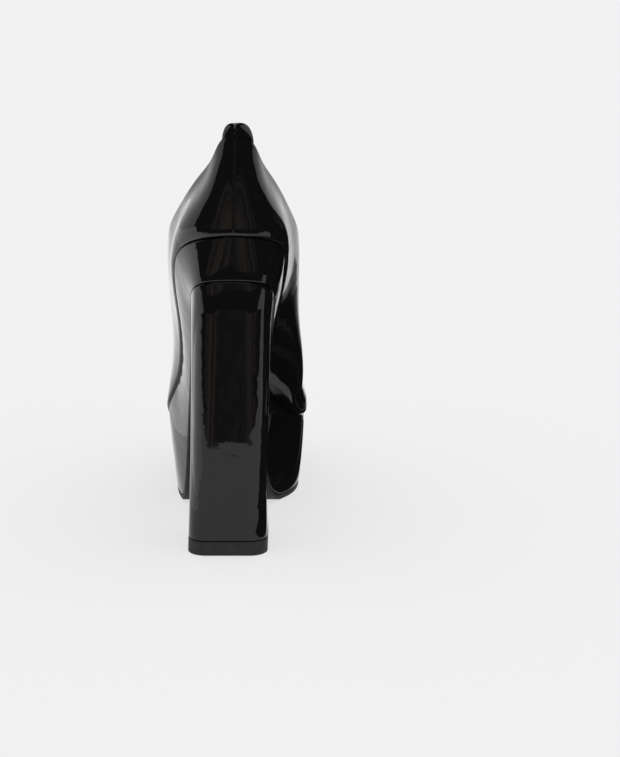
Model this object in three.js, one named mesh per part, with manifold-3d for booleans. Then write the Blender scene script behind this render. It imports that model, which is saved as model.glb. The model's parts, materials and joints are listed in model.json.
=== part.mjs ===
// A black patent platform pump with a tall block heel: the shoe for the left foot.
// Millimetres. +Y points to the toe, +X to the inner side of the foot, +Z up.
// The origin is the middle of the heel's tread, where it meets the ground.
import * as THREE from 'three';
import { mergeVertices } from 'three/addons/utils/BufferGeometryUtils.js';
import Module from 'manifold-3d';

const wasm = await Module();
wasm.setup();

// ---------------------------------------------------------------- driving sizes
const SEAT_HEIGHT = 166.5; // ground to the feather line at the back of the heel
const TREAD_HEIGHT = 36; // ground to the feather line under the ball of the foot
const FOOT_LENGTH = 200; // feather line, back to tip
const BALL_WIDTH = 68.5; // feather line, across the ball
const BACK_HEIGHT = 53.5; // feather line to topline at the back seam
const HEEL_WIDTH = 40;
const HEEL_DEPTH = 42;
const HEEL_CORNER = 9;
const BREAST_CORNER = 3;
const TOP_LIFT = 7.4;
const UNIT_HEIGHT = 22; // sole unit between upper and heel block, at the back
const OUTSOLE = 2.5;
const UPPER_LEATHER = 1.2;
const STIFFENER = 0.9; // heel counter, toe puff and topline tape
const LINING = 0.7;
const COVER_LEATHER = 1;
const TAB_HEIGHT = 4.5;
const INSOLE_BOARD = 2.5;
const CUSHION = 2.2;
const SOCK = 0.9;
const SHANK_WIDTH = 12;
const SHANK_STEEL = 1.5;
const SCREW_RADIUS = 2.4;
const NAIL_RADIUS = 0.9;
const PIN_RADIUS = 1.6;
const RIVET_RADIUS = 1.5;
const GAP = 0.3; // between pieces that touch
const GLUE = 0.4; // between the layers of the upper and the bottom

// ---------------------------------------------------------------- design tables
// Stations run round the shoe: 0 is the back seam, THROAT the front of the topline, TIP the toe.
// Past TIP they come back along the outer side, so a full ring is twice TIP.
const TIP = 14;
const THROAT = 10;
const RING = 2 * TIP;
const BACK_Y = -29;
const AXIS_X = 4;
const DRAWN = { length: 200, ball: 68.5, back: 53.5 }; // sizes that the tables are drawn at

// Height of the feather line, as a share of the way from tread to heel seat: y, share.
const PITCH = [
  [-29, 1], [-15, 0.943], [0, 0.852], [20, 0.684], [40, 0.498], [60, 0.304], [75, 0.16],
  [85, 0.08], [95, 0.027], [110, 0.004], [130, 0], [150, 0.019], [175, 0.066],
];

// Feather line in plan: inner x, inner y, outer x, outer y.
const FEATHER = [
  [4, -29, 4, -29], [15.5, -26.5, -7.5, -26.5], [24.5, -19, -17, -19.5], [29.5, -6, -25, -6],
  [28.5, 12, -27.2, 12], [24.3, 30, -26, 30], [20.8, 48, -25.2, 48], [19.8, 66, -27.5, 66],
  [26, 82, -33.2, 81], [37.3, 97, -33.6, 97], [38, 116, -31.8, 115], [33.5, 133, -27, 132],
  [26, 149, -19, 148], [15.5, 163, -7.5, 162.5], [4, 171, 4, 171],
];

// Topline, back seam to throat: inner x, outer x, y, height over the feather line.
const TOPLINE = [
  [5, 5, -20, 53.5], [13.5, -2.6, -16.5, 51], [17.7, -7, -10, 45.5], [22, -12.6, -1, 43.5],
  [27.2, -19.3, 10, 43.5], [32.3, -26.3, 26, 47.5], [35.5, -30.8, 45, 55], [33.5, -29.5, 68, 61],
  [29.5, -24, 93, 57], [20.5, -15, 117, 43.5], [3, 3, 126, 41.5],
];

// Middle of the vamp, throat to tip: x, y, height over the feather line.
const RIDGE = [[3, 126, 41.5], [3.3, 140, 34], [3.6, 152, 26], [3.9, 163, 18], [4, 171, 9]];

// Bulge of the upper at each station, as the handles of its curve from feather line to top:
// outward on the inner side, outward on the outer side, up; then at the top outward and down.
const BULGE = [
  [3, 3, 18, 1.5, 16], [3, 3, 17, 2, 16], [3, 3, 16, 2, 15], [4, 3, 15, 2, 14],
  [7, 4, 14, 2, 14], [10, 4, 13, 2, 16], [14, 3, 12, 1.5, 20], [23, 1.5, 10, 1.5, 24],
  [28, 0.5, 12, 3, 20], [9, 0.5, 14, 8, 13], [3, 2, 15, 17, 0], [2.5, 2.5, 14, 17, 0],
  [2, 2, 12, 14, 0], [1.5, 1.5, 9, 8, 0], [1, 1, 3, 1, 0],
];

// Bottom edge of the sole unit in plan: inner x, outer x, y.
const UNIT_EDGE = [
  [3, 3, -27], [14.5, -8.4, -25.8], [21.4, -15.2, -20], [24, -17.8, -7], [23.4, -18.3, 9],
  [21, -18.8, 25], [18, -20, 39], [17, -21.5, 51], [20.5, -24, 63], [31.8, -28.2, 80],
  [35.2, -29, 104], [31, -24, 126], [23.5, -16.5, 144], [13.5, -5.5, 158], [4, 4, 165.5],
];

// Drop of the sole unit's bottom below the feather line behind the ball: y, drop.
const UNIT_DROP = [[-27, 22], [0, 22], [25, 23], [39, 25.5], [51, 34]];
const TREAD_START = 67; // y where the tread begins
const TREAD_END = 132; // y where it lifts towards the toe
const TOE_SPRING = 5;

// Heel block: share of its height, middle x, back y, then width, depth and the rounding of the back
// corners over those at the tread.
const HEEL_SHAPE = [
  [0, 0, -21, 0, 0, 0], [0.4, 0.6, -20.6, -2.3, -1.5, 1], [0.72, 1.8, -22.6, -1.4, 0.5, 3],
  [1, 3.2, -27, 2, 7, 4.5],
];
const HEEL_FIT = { from: 0.62, to: 0.9 }; // shares of its height where it draws in under the unit

// ---------------------------------------------------------------- curves
// Value of a smooth profile through rows of [position, value]. It never swings past a row.
function profile(rows, at) {
  let i = 0;
  while (i < rows.length - 2 && at > rows[i + 1][0]) i++;
  const rate = (j) => (rows[j + 1][1] - rows[j][1]) / (rows[j + 1][0] - rows[j][0]);
  const slope = (j) => {
    const before = rate(Math.max(j - 1, 0));
    const after = rate(Math.min(j, rows.length - 2));
    return before * after > 0 ? (2 * before * after) / (before + after) : 0;
  };
  const [start, low] = rows[i];
  const [end, high] = rows[i + 1];
  const span = end - start;
  const t = THREE.MathUtils.clamp((at - start) / span, 0, 1);
  const ease = t * t * (3 - 2 * t);
  return low + (high - low) * ease
    + span * t * (1 - t) * ((1 - t) * slope(i) - t * slope(i + 1));
}

const along = (y) => BACK_Y + (y - BACK_Y) * (FOOT_LENGTH / DRAWN.length);
const across = (x) => AXIS_X + (x - AXIS_X) * (BALL_WIDTH / DRAWN.ball);
const rise = (height) => height * (BACK_HEIGHT / DRAWN.back);

const pitch = PITCH.map(([y, share]) => [along(y), share]);
const featherHeight = (y) => TREAD_HEIGHT + (SEAT_HEIGHT - TREAD_HEIGHT) * profile(pitch, y);

const spline = (points, closed) => new THREE.CatmullRomCurve3(points, closed, 'catmullrom', 0.5);
const point = (x, y, z = 0) => new THREE.Vector3(across(x), along(y), z);

// Closed curve through the inner points from back to front, then the outer points back again.
function ring(inner, outer) {
  const returning = outer.slice(1, -1).reverse();
  return spline([...inner, ...returning], true);
}

const featherPlan = ring(
  FEATHER.map(([x, y]) => point(x, y)),
  FEATHER.map(([, , x, y]) => point(x, y)),
);
const toplineCurve = ring(
  TOPLINE.map(([x, , y, height]) => point(x, y, rise(height))),
  TOPLINE.map(([, x, y, height]) => point(x, y, rise(height))),
);
const ridgePoints = RIDGE.map(([x, y, height]) => point(x, y, rise(height)));
const ridgeCurve = spline([...ridgePoints, ...ridgePoints.slice(0, -1).reverse()], false);
const unitPlan = ring(
  UNIT_EDGE.map(([x, , y]) => point(x, y)),
  UNIT_EDGE.map(([, x, y]) => point(x, y)),
);

const wrap = (s) => ((s % RING) + RING) % RING;
const station = (s) => (wrap(s) <= TIP ? wrap(s) : RING - wrap(s));
const isInner = (s) => wrap(s) <= TIP;
const onPlan = (curve, s) => curve.getPoint(wrap(s) / RING);

// Direction out of a plan curve, level.
function outward(curve, s) {
  const step = 0.02;
  const way = onPlan(curve, s + step).sub(onPlan(curve, s - step));
  return new THREE.Vector3(way.y, -way.x, 0).normalize();
}

function feather(s) {
  const at = onPlan(featherPlan, s);
  return at.setZ(featherHeight(at.y));
}

// Top end of the upper's curve at a station: on the topline, or on the middle of the vamp.
function top(s) {
  const k = station(s);
  let at;
  if (k >= THROAT) at = ridgeCurve.getPoint((k - THROAT) / (2 * (TIP - THROAT)));
  else at = toplineCurve.getPoint((isInner(s) ? k : 2 * THROAT - k) / (2 * THROAT));
  return at.setZ(featherHeight(at.y) + at.z);
}

// Direction forward along the middle of the vamp.
const vampWay = (k) => top(Math.min(k + 0.1, TIP)).sub(top(Math.max(k - 0.1, THROAT))).normalize();

const bulge = (column, k) => profile(BULGE.map((row, i) => [i, row[column]]), k);

// Point of the upper's outer face: v is 0 at the feather line and 1 at the top.
function upperFace(s, v) {
  const k = station(s);
  const out = outward(featherPlan, s);
  const sideways = new THREE.Vector3(isInner(s) ? 1 : -1, 0, 0);
  const turn = THREE.MathUtils.smoothstep(k, THROAT - 1.5, THROAT);
  const topOut = out.clone().lerp(sideways, turn).normalize();
  const fan = Math.max(1 - Math.abs(k - THROAT), 0); // turns round the front of the topline
  if (fan > 0) topOut.addScaledVector(vampWay(Math.max(k, THROAT)), fan).normalize();
  const low = feather(s);
  const high = top(s);
  const lowHandle = low.clone().addScaledVector(out, bulge(isInner(s) ? 0 : 1, k));
  lowHandle.z += rise(bulge(2, k));
  const highHandle = high.clone().addScaledVector(topOut, bulge(3, k));
  highHandle.z -= rise(bulge(4, k));
  return new THREE.CubicBezierCurve3(low, lowHandle, highHandle, high).getPoint(v);
}

// Direction out of the upper's face.
function upperNormal(s, v) {
  const k = station(s);
  if (v === 1 && k >= THROAT) {
    const way = vampWay(k);
    return new THREE.Vector3(0, -way.z, way.y).normalize();
  }
  const round = upperFace(s + 0.05, v).sub(upperFace(s - 0.05, v));
  const up = upperFace(s, Math.min(v + 0.02, 1)).sub(upperFace(s, Math.max(v - 0.02, 0)));
  return round.cross(up).normalize();
}

// Direction up from the foot bed at y.
function bedNormal(y, height = featherHeight) {
  return new THREE.Vector3(0, height(y - 0.5) - height(y + 0.5), 1).normalize();
}

// Bottom corner of the upper's wall, at a depth inside the leather.
function corner(s, depth) {
  const inward = outward(featherPlan, s).negate();
  const at = feather(s);
  const up = bedNormal(at.y);
  const miter = depth / (1 + inward.dot(up));
  return at.addScaledVector(inward, miter).addScaledVector(up, miter);
}

// Middle line of a plan, opposite each station, drawn in at both ends.
const END_REACH = 0.11 * FOOT_LENGTH; // from the ends of the middle line to the back and the tip
function spine(curve, s) {
  const both = onPlan(curve, s).add(onPlan(curve, RING - wrap(s))).multiplyScalar(0.5);
  const middle = BACK_Y + FOOT_LENGTH / 2;
  return both.setY(middle + (both.y - middle) * (1 - (2 * END_REACH) / FOOT_LENGTH));
}

// Point of a level sheet over a plan: w is 0 on the middle line and 1 on the edge.
function sheetPoint(curve, heightAt, s, w, inset, lift) {
  const edge = onPlan(curve, s).addScaledVector(outward(curve, s), -inset);
  const at = spine(curve, s).lerp(edge, w);
  at.z = heightAt(at.y);
  return at.addScaledVector(bedNormal(at.y, heightAt), lift);
}

// ---------------------------------------------------------------- solids
function toSolid(corners, oriented = false) {
  const geometry = new THREE.BufferGeometry().setFromPoints(corners);
  return weld(geometry, oriented);
}

// Merges shared vertices, drops flat triangles and pairs that face each other, and faces it out.
function weld(geometry, oriented = true) {
  geometry.deleteAttribute('normal');
  geometry.deleteAttribute('uv');
  const merged = mergeVertices(geometry, 1e-4);
  const places = merged.getAttribute('position');
  const seen = new Map();
  for (let i = 0; i < merged.index.count; i += 3) {
    const trio = [0, 1, 2].map((j) => merged.index.getX(i + j));
    if (new Set(trio).size < 3) continue;
    const key = [...trio].sort((a, b) => a - b).join();
    if (seen.has(key)) seen.delete(key);
    else seen.set(key, trio);
  }
  const trios = [...seen.values()];
  const vertex = (i) => new THREE.Vector3().fromBufferAttribute(places, i);
  const volume = trios.reduce((sum, [a, b, c]) => sum + vertex(a).dot(vertex(b).cross(vertex(c))), 0);
  if (!oriented && volume < 0) trios.forEach((trio) => trio.reverse());
  return new wasm.Manifold(new wasm.Mesh({
    numProp: 3,
    vertProperties: new Float32Array(places.array),
    triVerts: new Uint32Array(trios.flat()),
  }));
}

const evenly = (from, to, count) =>
  Array.from({ length: count + 1 }, (_, i) => from + ((to - from) * i) / count);

// Both ends, and every half station between them.
function stations(from, to) {
  const inside = evenly(-RING, 2 * RING, 6 * RING).filter((s) => s > from && s < to);
  return [from, ...inside, to];
}
const TIGHT = [8.25, 8.75, 9.25, 9.75, 10.25, 13.25, 13.75]; // more stations where the shape turns fast
const withTight = (list) => {
  const both = [...TIGHT, ...TIGHT.map((s) => RING - s)];
  const inside = [...both, ...both.map((s) => s - RING)].filter((s) => s > list[0] && s < list.at(-1));
  return [...list, ...inside].sort((a, b) => a - b);
};
const FULL = withTight(stations(0, RING).slice(0, -1));
const STEEP = [7.25, 7.75]; // and more where the sole unit drops to the tread
const UNDER = [...FULL, ...STEEP, ...STEEP.map((s) => RING - s)].sort((a, b) => a - b);

// Solid through one outline per station, each with as many points. Without capping it is a ring.
// Facets are split alike on outlines that run out and turn back, so that nested pieces stay apart.
function loft(sections, positions, capped, turnBack = sections[0].length / 2) {
  const corners = [];
  const quad = (a, b, c, d, other) => {
    if (other) corners.push(a, b, d, b, c, d);
    else corners.push(a, b, c, a, c, d);
  };
  const size = sections[0].length;
  const spans = capped ? sections.length - 1 : sections.length;
  for (let n = 0; n < spans; n++) {
    const near = sections[n];
    const far = sections[(n + 1) % sections.length];
    const returning = !isInner(positions[n] + 0.01);
    for (let i = 0; i < size; i++) {
      const j = (i + 1) % size;
      quad(near[i], near[j], far[j], far[i], returning !== i >= turnBack);
    }
  }
  if (capped) {
    const first = sections[0];
    const last = sections[sections.length - 1];
    for (let i = 0; i < size / 2 - 1; i++) {
      const far = size - 1 - i;
      quad(first[i], first[far], first[far - 1], first[i + 1]);
      quad(last[i], last[i + 1], last[far - 1], last[far]);
    }
  }
  return toSolid(corners);
}

const WALL_ROWS = 8;
const MARGIN = 0.45; // reach of the turned-in margins, as a share of the way to the middle line

// Point at a depth inside the upper, level with the flat facets between the wall's rows.
function wallPoint(s, v, depth) {
  const rowPoint = (row) => {
    if (row === 0) return corner(s, depth);
    return upperFace(s, row / WALL_ROWS).addScaledVector(upperNormal(s, row / WALL_ROWS), -depth);
  };
  const row = Math.min(Math.floor(v * WALL_ROWS), WALL_ROWS - 1);
  return rowPoint(row).lerp(rowPoint(row + 1), v * WALL_ROWS - row);
}

// Wall of the upper between two depths, with a margin turned in under the foot.
// With slack, it lies deeper round the toe, but not under the foot.
function wall(positions, capped, from, to, { low = 0, high = 1, margin = MARGIN, slack = 0 } = {}) {
  const face = (s, depth) => {
    const loose = slack * THREE.MathUtils.smoothstep(station(s), TIP - 2, TIP - 0.5);
    const points = margin > 0 ? [sheetPoint(featherPlan, featherHeight, s, 1 - margin, depth, depth)] : [];
    for (let i = 0; i <= WALL_ROWS; i++) {
      const v = THREE.MathUtils.clamp(i / WALL_ROWS, low, high);
      points.push(wallPoint(s, v, depth + loose * Math.min(6 * v, 1)));
    }
    return points;
  };
  const sections = positions.map((s) => [...face(s, from), ...face(s, to).reverse()]);
  return loft(sections, positions, capped);
}

// How far the upper's face leans in over the feather line, up to a height above it.
function leanIn(s, height) {
  const low = feather(s);
  const inward = outward(featherPlan, s).negate();
  let most = 0;
  let below = new THREE.Vector3();
  for (let row = 1; row <= WALL_ROWS && below.z < height; row++) {
    const at = upperFace(s, row / WALL_ROWS).sub(low);
    const reached = Math.min((height - below.z) / (at.z - below.z), 1);
    most = Math.max(most, below.clone().lerp(at, reached).dot(inward));
    below = at;
  }
  return most * (1 - THREE.MathUtils.smoothstep(station(s), THROAT, THROAT + 2));
}

// Sheet over the foot bed between two heights above the feather line. It keeps clear of the wall,
// and stops short of the toe, where the vamp comes down.
function bedSheet(from, to, clear) {
  const sections = FULL.map((s) => {
    const reach = 1 - (THREE.MathUtils.smoothstep(station(s), THROAT - 1, TIP) * to) / END_REACH;
    const level = (height) => [0, 1 - MARGIN, 1].map((w) =>
      sheetPoint(featherPlan, featherHeight, s, w * reach, clear + leanIn(s, to), height));
    return [...level(from), ...level(to).reverse()];
  });
  return loft(sections, FULL, false);
}

const block = (low, high) => {
  const size = high.clone().sub(low);
  const geometry = new THREE.BoxGeometry(size.x, size.y, size.z);
  geometry.translate(...low.clone().add(high).multiplyScalar(0.5).toArray());
  return weld(geometry);
};
const WIDE = 200;
const slice = (from, to) => block(new THREE.Vector3(-WIDE, from, -WIDE), new THREE.Vector3(WIDE, to, 2 * WIDE));

// Upright round bar from one height to another.
function rod(x, y, from, to, radius, sides = 16) {
  const geometry = new THREE.CylinderGeometry(radius, radius, to - from, sides);
  geometry.rotateX(Math.PI / 2);
  geometry.translate(x, y, (from + to) / 2);
  return weld(geometry);
}

// Upright screw or nail: a head and a pointed shaft in one turned profile.
function fastener(x, y, head, length, radius, headRadius, headDepth, sides = 16) {
  const outline = [
    [0, 0], [radius, radius * 2], [radius, length - headDepth], [headRadius, length], [0, length],
  ].map(([r, z]) => new THREE.Vector2(r, z));
  const geometry = new THREE.LatheGeometry(outline, sides);
  geometry.rotateX(Math.PI / 2);
  geometry.translate(x, y, head - length);
  return weld(geometry, false);
}

const group = new THREE.Group();
function add(name, solid, material) {
  const { vertProperties, triVerts } = solid.getMesh();
  const geometry = new THREE.BufferGeometry();
  geometry.setAttribute('position', new THREE.BufferAttribute(vertProperties, 3));
  geometry.setIndex(new THREE.BufferAttribute(triVerts, 1));
  geometry.computeVertexNormals();
  const mesh = new THREE.Mesh(geometry, material.clone());
  mesh.name = name;
  group.add(mesh);
}

const finish = (color, roughness, metalness = 0) =>
  new THREE.MeshStandardMaterial({ color, roughness, metalness });
const patent = finish(0x0a0a0b, 0.06);
const rubber = finish(0x262626, 0.7);
const liningLeather = finish(0xc9ab8c, 0.55);
const fibreBoard = finish(0x8c6a48, 0.85);
const thermoplastic = finish(0xd8d2c6, 0.6);
const tape = finish(0xeeeeea, 0.8);
const cork = finish(0xb08a5c, 0.9);
const foam = finish(0xe9e4da, 0.95);
const plastic = finish(0xe4e2dc, 0.45);
const steel = finish(0xb9bcc0, 0.3, 1);

// ---------------------------------------------------------------- upper
const STIFF_FROM = UPPER_LEATHER + GLUE;
const STIFF_TO = STIFF_FROM + STIFFENER;
const LINING_FROM = STIFF_TO + GLUE;
const LINING_TO = LINING_FROM + LINING;
const LINING_JOIN = 7; // station where vamp lining and quarter lining meet
const JOIN_GAP = 0.02; // half the gap there, in stations
const COUNTER_END = 5;
const PUFF_START = 11.5;
const TAPE_END = THROAT - 0.5;
const TIP_SLACK = 0.5; // how much looser the lining lies behind the toe puff at the tip

let upper = wall(FULL, false, 0, UPPER_LEATHER);

let counter = wall(stations(-COUNTER_END, COUNTER_END), true, STIFF_FROM, STIFF_TO, { high: 0.75 });
add('toe_puff', wall(withTight(stations(PUFF_START, RING - PUFF_START)), true, STIFF_FROM, STIFF_TO),
  thermoplastic);
add('topline_tape', wall(withTight(stations(-TAPE_END, TAPE_END)), true, STIFF_FROM, STIFF_TO,
  { low: 0.86, margin: 0 }), tape);

let quarterLining = wall(stations(-LINING_JOIN, LINING_JOIN), true, LINING_FROM, LINING_TO);
add('vamp_lining', wall(withTight(stations(LINING_JOIN + JOIN_GAP, RING - LINING_JOIN - JOIN_GAP)), true,
  LINING_FROM, LINING_TO, { slack: TIP_SLACK }), liningLeather);

// Tab over the top of the back seam, domed and leaning in.
const TAB_FROM = -0.78;
const TAB_TO = 1.08;
const TAB_LEAN = 0.5;
const TAB_DOME = 0.72; // power that rounds its top
const tabStations = evenly(TAB_FROM, TAB_TO, 12);
const tabSections = tabStations.map((s) => {
  const share = (2 * (s - TAB_FROM)) / (TAB_TO - TAB_FROM) - 1;
  const rim = top(s);
  const dome = Math.max(1 - share ** 2, 0) ** TAB_DOME;
  const height = (top(0).z - rim.z + TAB_HEIGHT) * dome;
  const out = outward(featherPlan, s);
  const up = new THREE.Vector3(0, TAB_LEAN, 1);
  const face = (depth) => [GAP, Math.max(height, 2 * GAP)].map((lift) =>
    rim.clone().addScaledVector(out, -depth).addScaledVector(up, lift));
  return [...face(0), ...face(UPPER_LEATHER).reverse()];
});
add('back_tab', loft(tabSections, tabStations, true), patent);

// ---------------------------------------------------------------- sole unit
const bottomOfUnit = OUTSOLE + GAP;
const drop = UNIT_DROP.map(([y, value]) => [along(y), value * (UNIT_HEIGHT / 22)]);
const unitProfile = [
  ...drop.map(([y, value]) => [y, featherHeight(y) - value]),
  [along(59), bottomOfUnit + 0.6 * TREAD_HEIGHT],
  [along(TREAD_START - 2), bottomOfUnit + 4],
  [along(TREAD_START + 4), bottomOfUnit],
  [along(TREAD_END), bottomOfUnit],
  [along(150), bottomOfUnit + TOE_SPRING * 0.3],
  [along(170), bottomOfUnit + TOE_SPRING],
];
const unitBottom = (y) => profile(unitProfile, y);
const BREAST_Y = HEEL_DEPTH / 2 - 0.4; // front face of the heel block where it meets the unit

const OVERHANG = 0.8; // of the upper over the sole unit
const coreInset = COVER_LEATHER + 2 * GAP;

// Underside and upper face of the sole unit. Below, an inset moves a point level, so that the
// layers stay apart where the unit drops steeply.
const underside = (s, w, inset, lift) =>
  sheetPoint(unitPlan, unitBottom, s, w, 0, lift).addScaledVector(outward(unitPlan, s), -inset * w);
const ceiling = (s, w, inset, lift) =>
  sheetPoint(featherPlan, featherHeight, s, w, OVERHANG + inset, lift);
const unitSide = (s, inset) =>
  [0, 0.5, 1].map((t) => underside(s, 1, inset, 0).lerp(ceiling(s, 1, inset, -GAP), t));

const coreSections = UNDER.map((s) => [
  ...[0, 0.5].map((w) => underside(s, w, coreInset, 0)),
  ...unitSide(s, coreInset),
  ...[1 - MARGIN, 0].map((w) => ceiling(s, w, coreInset, -2 * GAP)),
]);
const CORE_TURN = 4; // point of the core's outline where its upper face starts
let soleCore = loft(coreSections, UNDER, false, CORE_TURN);
const coverSections = UNDER.map((s) => [...unitSide(s, 0), ...unitSide(s, COVER_LEATHER).reverse()]);
add('sole_cover', loft(coverSections, UNDER, false), patent);

const outsoleSections = UNDER.map((s) => {
  const level = (lift) => [0, 0.5, 1].map((w) => underside(s, w, GAP, lift));
  return [...level(-GAP), ...level(-GAP - OUTSOLE).reverse()];
});
const outsole = loft(outsoleSections, UNDER, false).intersect(slice(BREAST_Y + GAP, FOOT_LENGTH));
add('outsole', outsole, rubber);

// ---------------------------------------------------------------- heel
const seatBack = unitBottom(along(-27));
const heelTop = seatBack + 6;

// Reach of the sole unit's bottom edge from the middle of the heel seat, by direction.
const seatMiddle = new THREE.Vector3(across(3), along(-2), 0);
const unitReach = evenly(0, RING, 280).map((s) => {
  const arm = onPlan(unitPlan, s).sub(seatMiddle);
  return { way: Math.atan2(arm.y, arm.x), reach: arm.length() };
}).sort((a, b) => a.way - b.way);

// Draws a point of the heel in near its top, so that it keeps under the edge of the sole unit.
function underUnit(at, share, inset) {
  const arm = at.clone().sub(seatMiddle).setZ(0);
  const way = Math.atan2(arm.y, arm.x);
  const after = unitReach.find((edge) => edge.way >= way) ?? unitReach[0];
  const excess = Math.max(arm.length() - (after.reach - inset), 0);
  const amount = excess * THREE.MathUtils.smoothstep(share, HEEL_FIT.from, HEEL_FIT.to);
  return at.addScaledVector(arm.normalize(), -amount);
}

// Level outline of the heel block at a height, drawn in by an inset.
function heelOutline(z, inset) {
  const share = z / seatBack;
  const value = (column) => profile(HEEL_SHAPE.map((row) => [row[0], row[column]]), share);
  const width = HEEL_WIDTH + value(3) - 2 * inset;
  const depth = HEEL_DEPTH + value(4) - 2 * inset;
  const back = value(2) + 21 - HEEL_DEPTH / 2 + inset;
  const points = [];
  const soft = HEEL_CORNER + value(5);
  const corners = [[1, 0, soft], [1, 1, BREAST_CORNER], [-1, 1, BREAST_CORNER], [-1, 0, soft]];
  corners.forEach(([side, front, round], index) => {
    const radius = Math.max(round - inset, 1);
    const x = value(1) + side * (width / 2 - radius);
    const y = front ? back + depth - radius : back + radius;
    for (const turn of evenly(0, 1, 5)) {
      const angle = ((index - 1 + turn) * Math.PI) / 2;
      const at = new THREE.Vector3(x + radius * Math.cos(angle), y + radius * Math.sin(angle), z);
      points.push(underUnit(at, share, inset));
    }
  });
  return points;
}

function heelLoft(inset, from, to) {
  const corners = [];
  const outlines = evenly(from, to, 12).map((z) => heelOutline(z, inset));
  const size = outlines[0].length;
  const middle = (outline) =>
    outline.reduce((sum, at) => sum.add(at), new THREE.Vector3()).divideScalar(size);
  for (let n = 0; n < outlines.length - 1; n++) {
    for (let i = 0; i < size; i++) {
      const j = (i + 1) % size;
      corners.push(outlines[n][i], outlines[n][j], outlines[n + 1][j]);
      corners.push(outlines[n][i], outlines[n + 1][j], outlines[n + 1][i]);
    }
  }
  for (let i = 0; i < size; i++) {
    const j = (i + 1) % size;
    const last = outlines[outlines.length - 1];
    corners.push(outlines[0][j], outlines[0][i], middle(outlines[0]));
    corners.push(last[i], last[j], middle(last));
  }
  return toSolid(corners);
}

// Everything above the underside of the sole unit, less the gap.
const seatShape = new THREE.Shape();
seatShape.moveTo(-60, heelTop + 30);
seatShape.lineTo(-60, unitBottom(-27));
for (let y = along(-28); y < 60; y += 3) {
  seatShape.lineTo(y, unitBottom(y) - GAP / bedNormal(y, unitBottom).z);
}
seatShape.lineTo(60, heelTop + 30);
const seatGeometry = new THREE.ExtrudeGeometry(seatShape, { depth: 2 * WIDE, bevelEnabled: false });
seatGeometry.applyMatrix4(new THREE.Matrix4().set(0, 0, 1, -WIDE, 1, 0, 0, 0, 0, 1, 0, 0, 0, 0, 0, 1));
const seatCut = weld(seatGeometry, false);

const blockFrom = TOP_LIFT + GAP;
const heelWhole = heelLoft(0, blockFrom, heelTop).subtract(seatCut);
const heelInner = heelLoft(COVER_LEATHER, blockFrom - 1, heelTop + 1);
const heelWrap = heelWhole.subtract(heelInner);
const breastFace = HEEL_DEPTH / 2 - 4.5;
add('heel_cover', heelWrap.subtract(slice(breastFace, WIDE)), patent);
add('heel_breast_cover', heelWrap.intersect(slice(breastFace + GAP, WIDE)), patent);
let heelCore = heelLoft(coreInset, blockFrom, heelTop).subtract(seatCut);
let topLift = heelLoft(0, 0, TOP_LIFT);

// ---------------------------------------------------------------- bottom filling and insole
const BOARD_FROM = LINING_TO + GLUE;
const BOARD_TO = BOARD_FROM + INSOLE_BOARD;
const PAD_FROM = BOARD_TO + GAP;
const SOCK_FROM = PAD_FROM + CUSHION + GAP;
const wallClear = LINING_TO + GLUE;
let board = bedSheet(BOARD_FROM, BOARD_TO, wallClear + GAP);
const pad = bedSheet(PAD_FROM, PAD_FROM + CUSHION, wallClear + 1.5);
add('heel_pad', pad.intersect(slice(BACK_Y, along(12))), foam);
add('forefoot_pad', pad.intersect(slice(along(72), along(150))), foam);
add('sock_liner', bedSheet(SOCK_FROM, SOCK_FROM + SOCK, wallClear + 1), liningLeather);

// Cork fills the hollow between the turned-in margins under the ball and toes.
const fillerSections = FULL.map((s) => {
  const edge = corner(s, 0);
  const middle = spine(featherPlan, s);
  const level = (lift) => [0, 1].map((w) => {
    const at = middle.clone().lerp(edge, w * 0.42);
    at.z = featherHeight(at.y);
    return at.addScaledVector(bedNormal(at.y), lift);
  });
  return [...level(0), ...level(LINING_TO).reverse()];
});
const filler = loft(fillerSections, FULL, false);
add('forefoot_filler', filler.intersect(slice(along(82), along(150))), cork);

// Sprung steel strip from the heel seat to the ball.
const SHANK_START = -12;
const SHANK_END = 76;
const shankMiddle = (y) => spine(featherPlan, 0).x + profile([[-30, 0], [20, -1], [60, -6], [90, -3]], y);
const shankSections = evenly(along(SHANK_START), along(SHANK_END), 16).map((y) => {
  const level = (lift, side) => {
    const at = new THREE.Vector3(shankMiddle(y) + (side * SHANK_WIDTH) / 2, y, featherHeight(y));
    return at.addScaledVector(bedNormal(y), lift);
  };
  const base = (LINING_TO - SHANK_STEEL) / 2;
  return [level(base, -1), level(base, 1), level(base + SHANK_STEEL, 1), level(base + SHANK_STEEL, -1)];
});
let shank = loft(shankSections, shankSections.map(() => 0), true);

// ---------------------------------------------------------------- fasteners
const bedTop = (y) => featherHeight(y) + BOARD_TO / bedNormal(y).z;
const screwX = 3.5;
const screwY = -4;
const screwHead = bedTop(screwY + 2 * SCREW_RADIUS) - 1.2;
const screwLength = 52;
add('heel_screw', fastener(screwX, screwY, screwHead, screwLength, SCREW_RADIUS, 2 * SCREW_RADIUS, 2.2),
  steel);
const ABOVE = 5; // holes run this far past the heads
const screwHole = rod(screwX, screwY, screwHead - screwLength - 2, screwHead, SCREW_RADIUS + GAP)
  .add(rod(screwX, screwY, screwHead - 2.2 - GAP, screwHead + ABOVE, 2 * SCREW_RADIUS + GAP));

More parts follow.
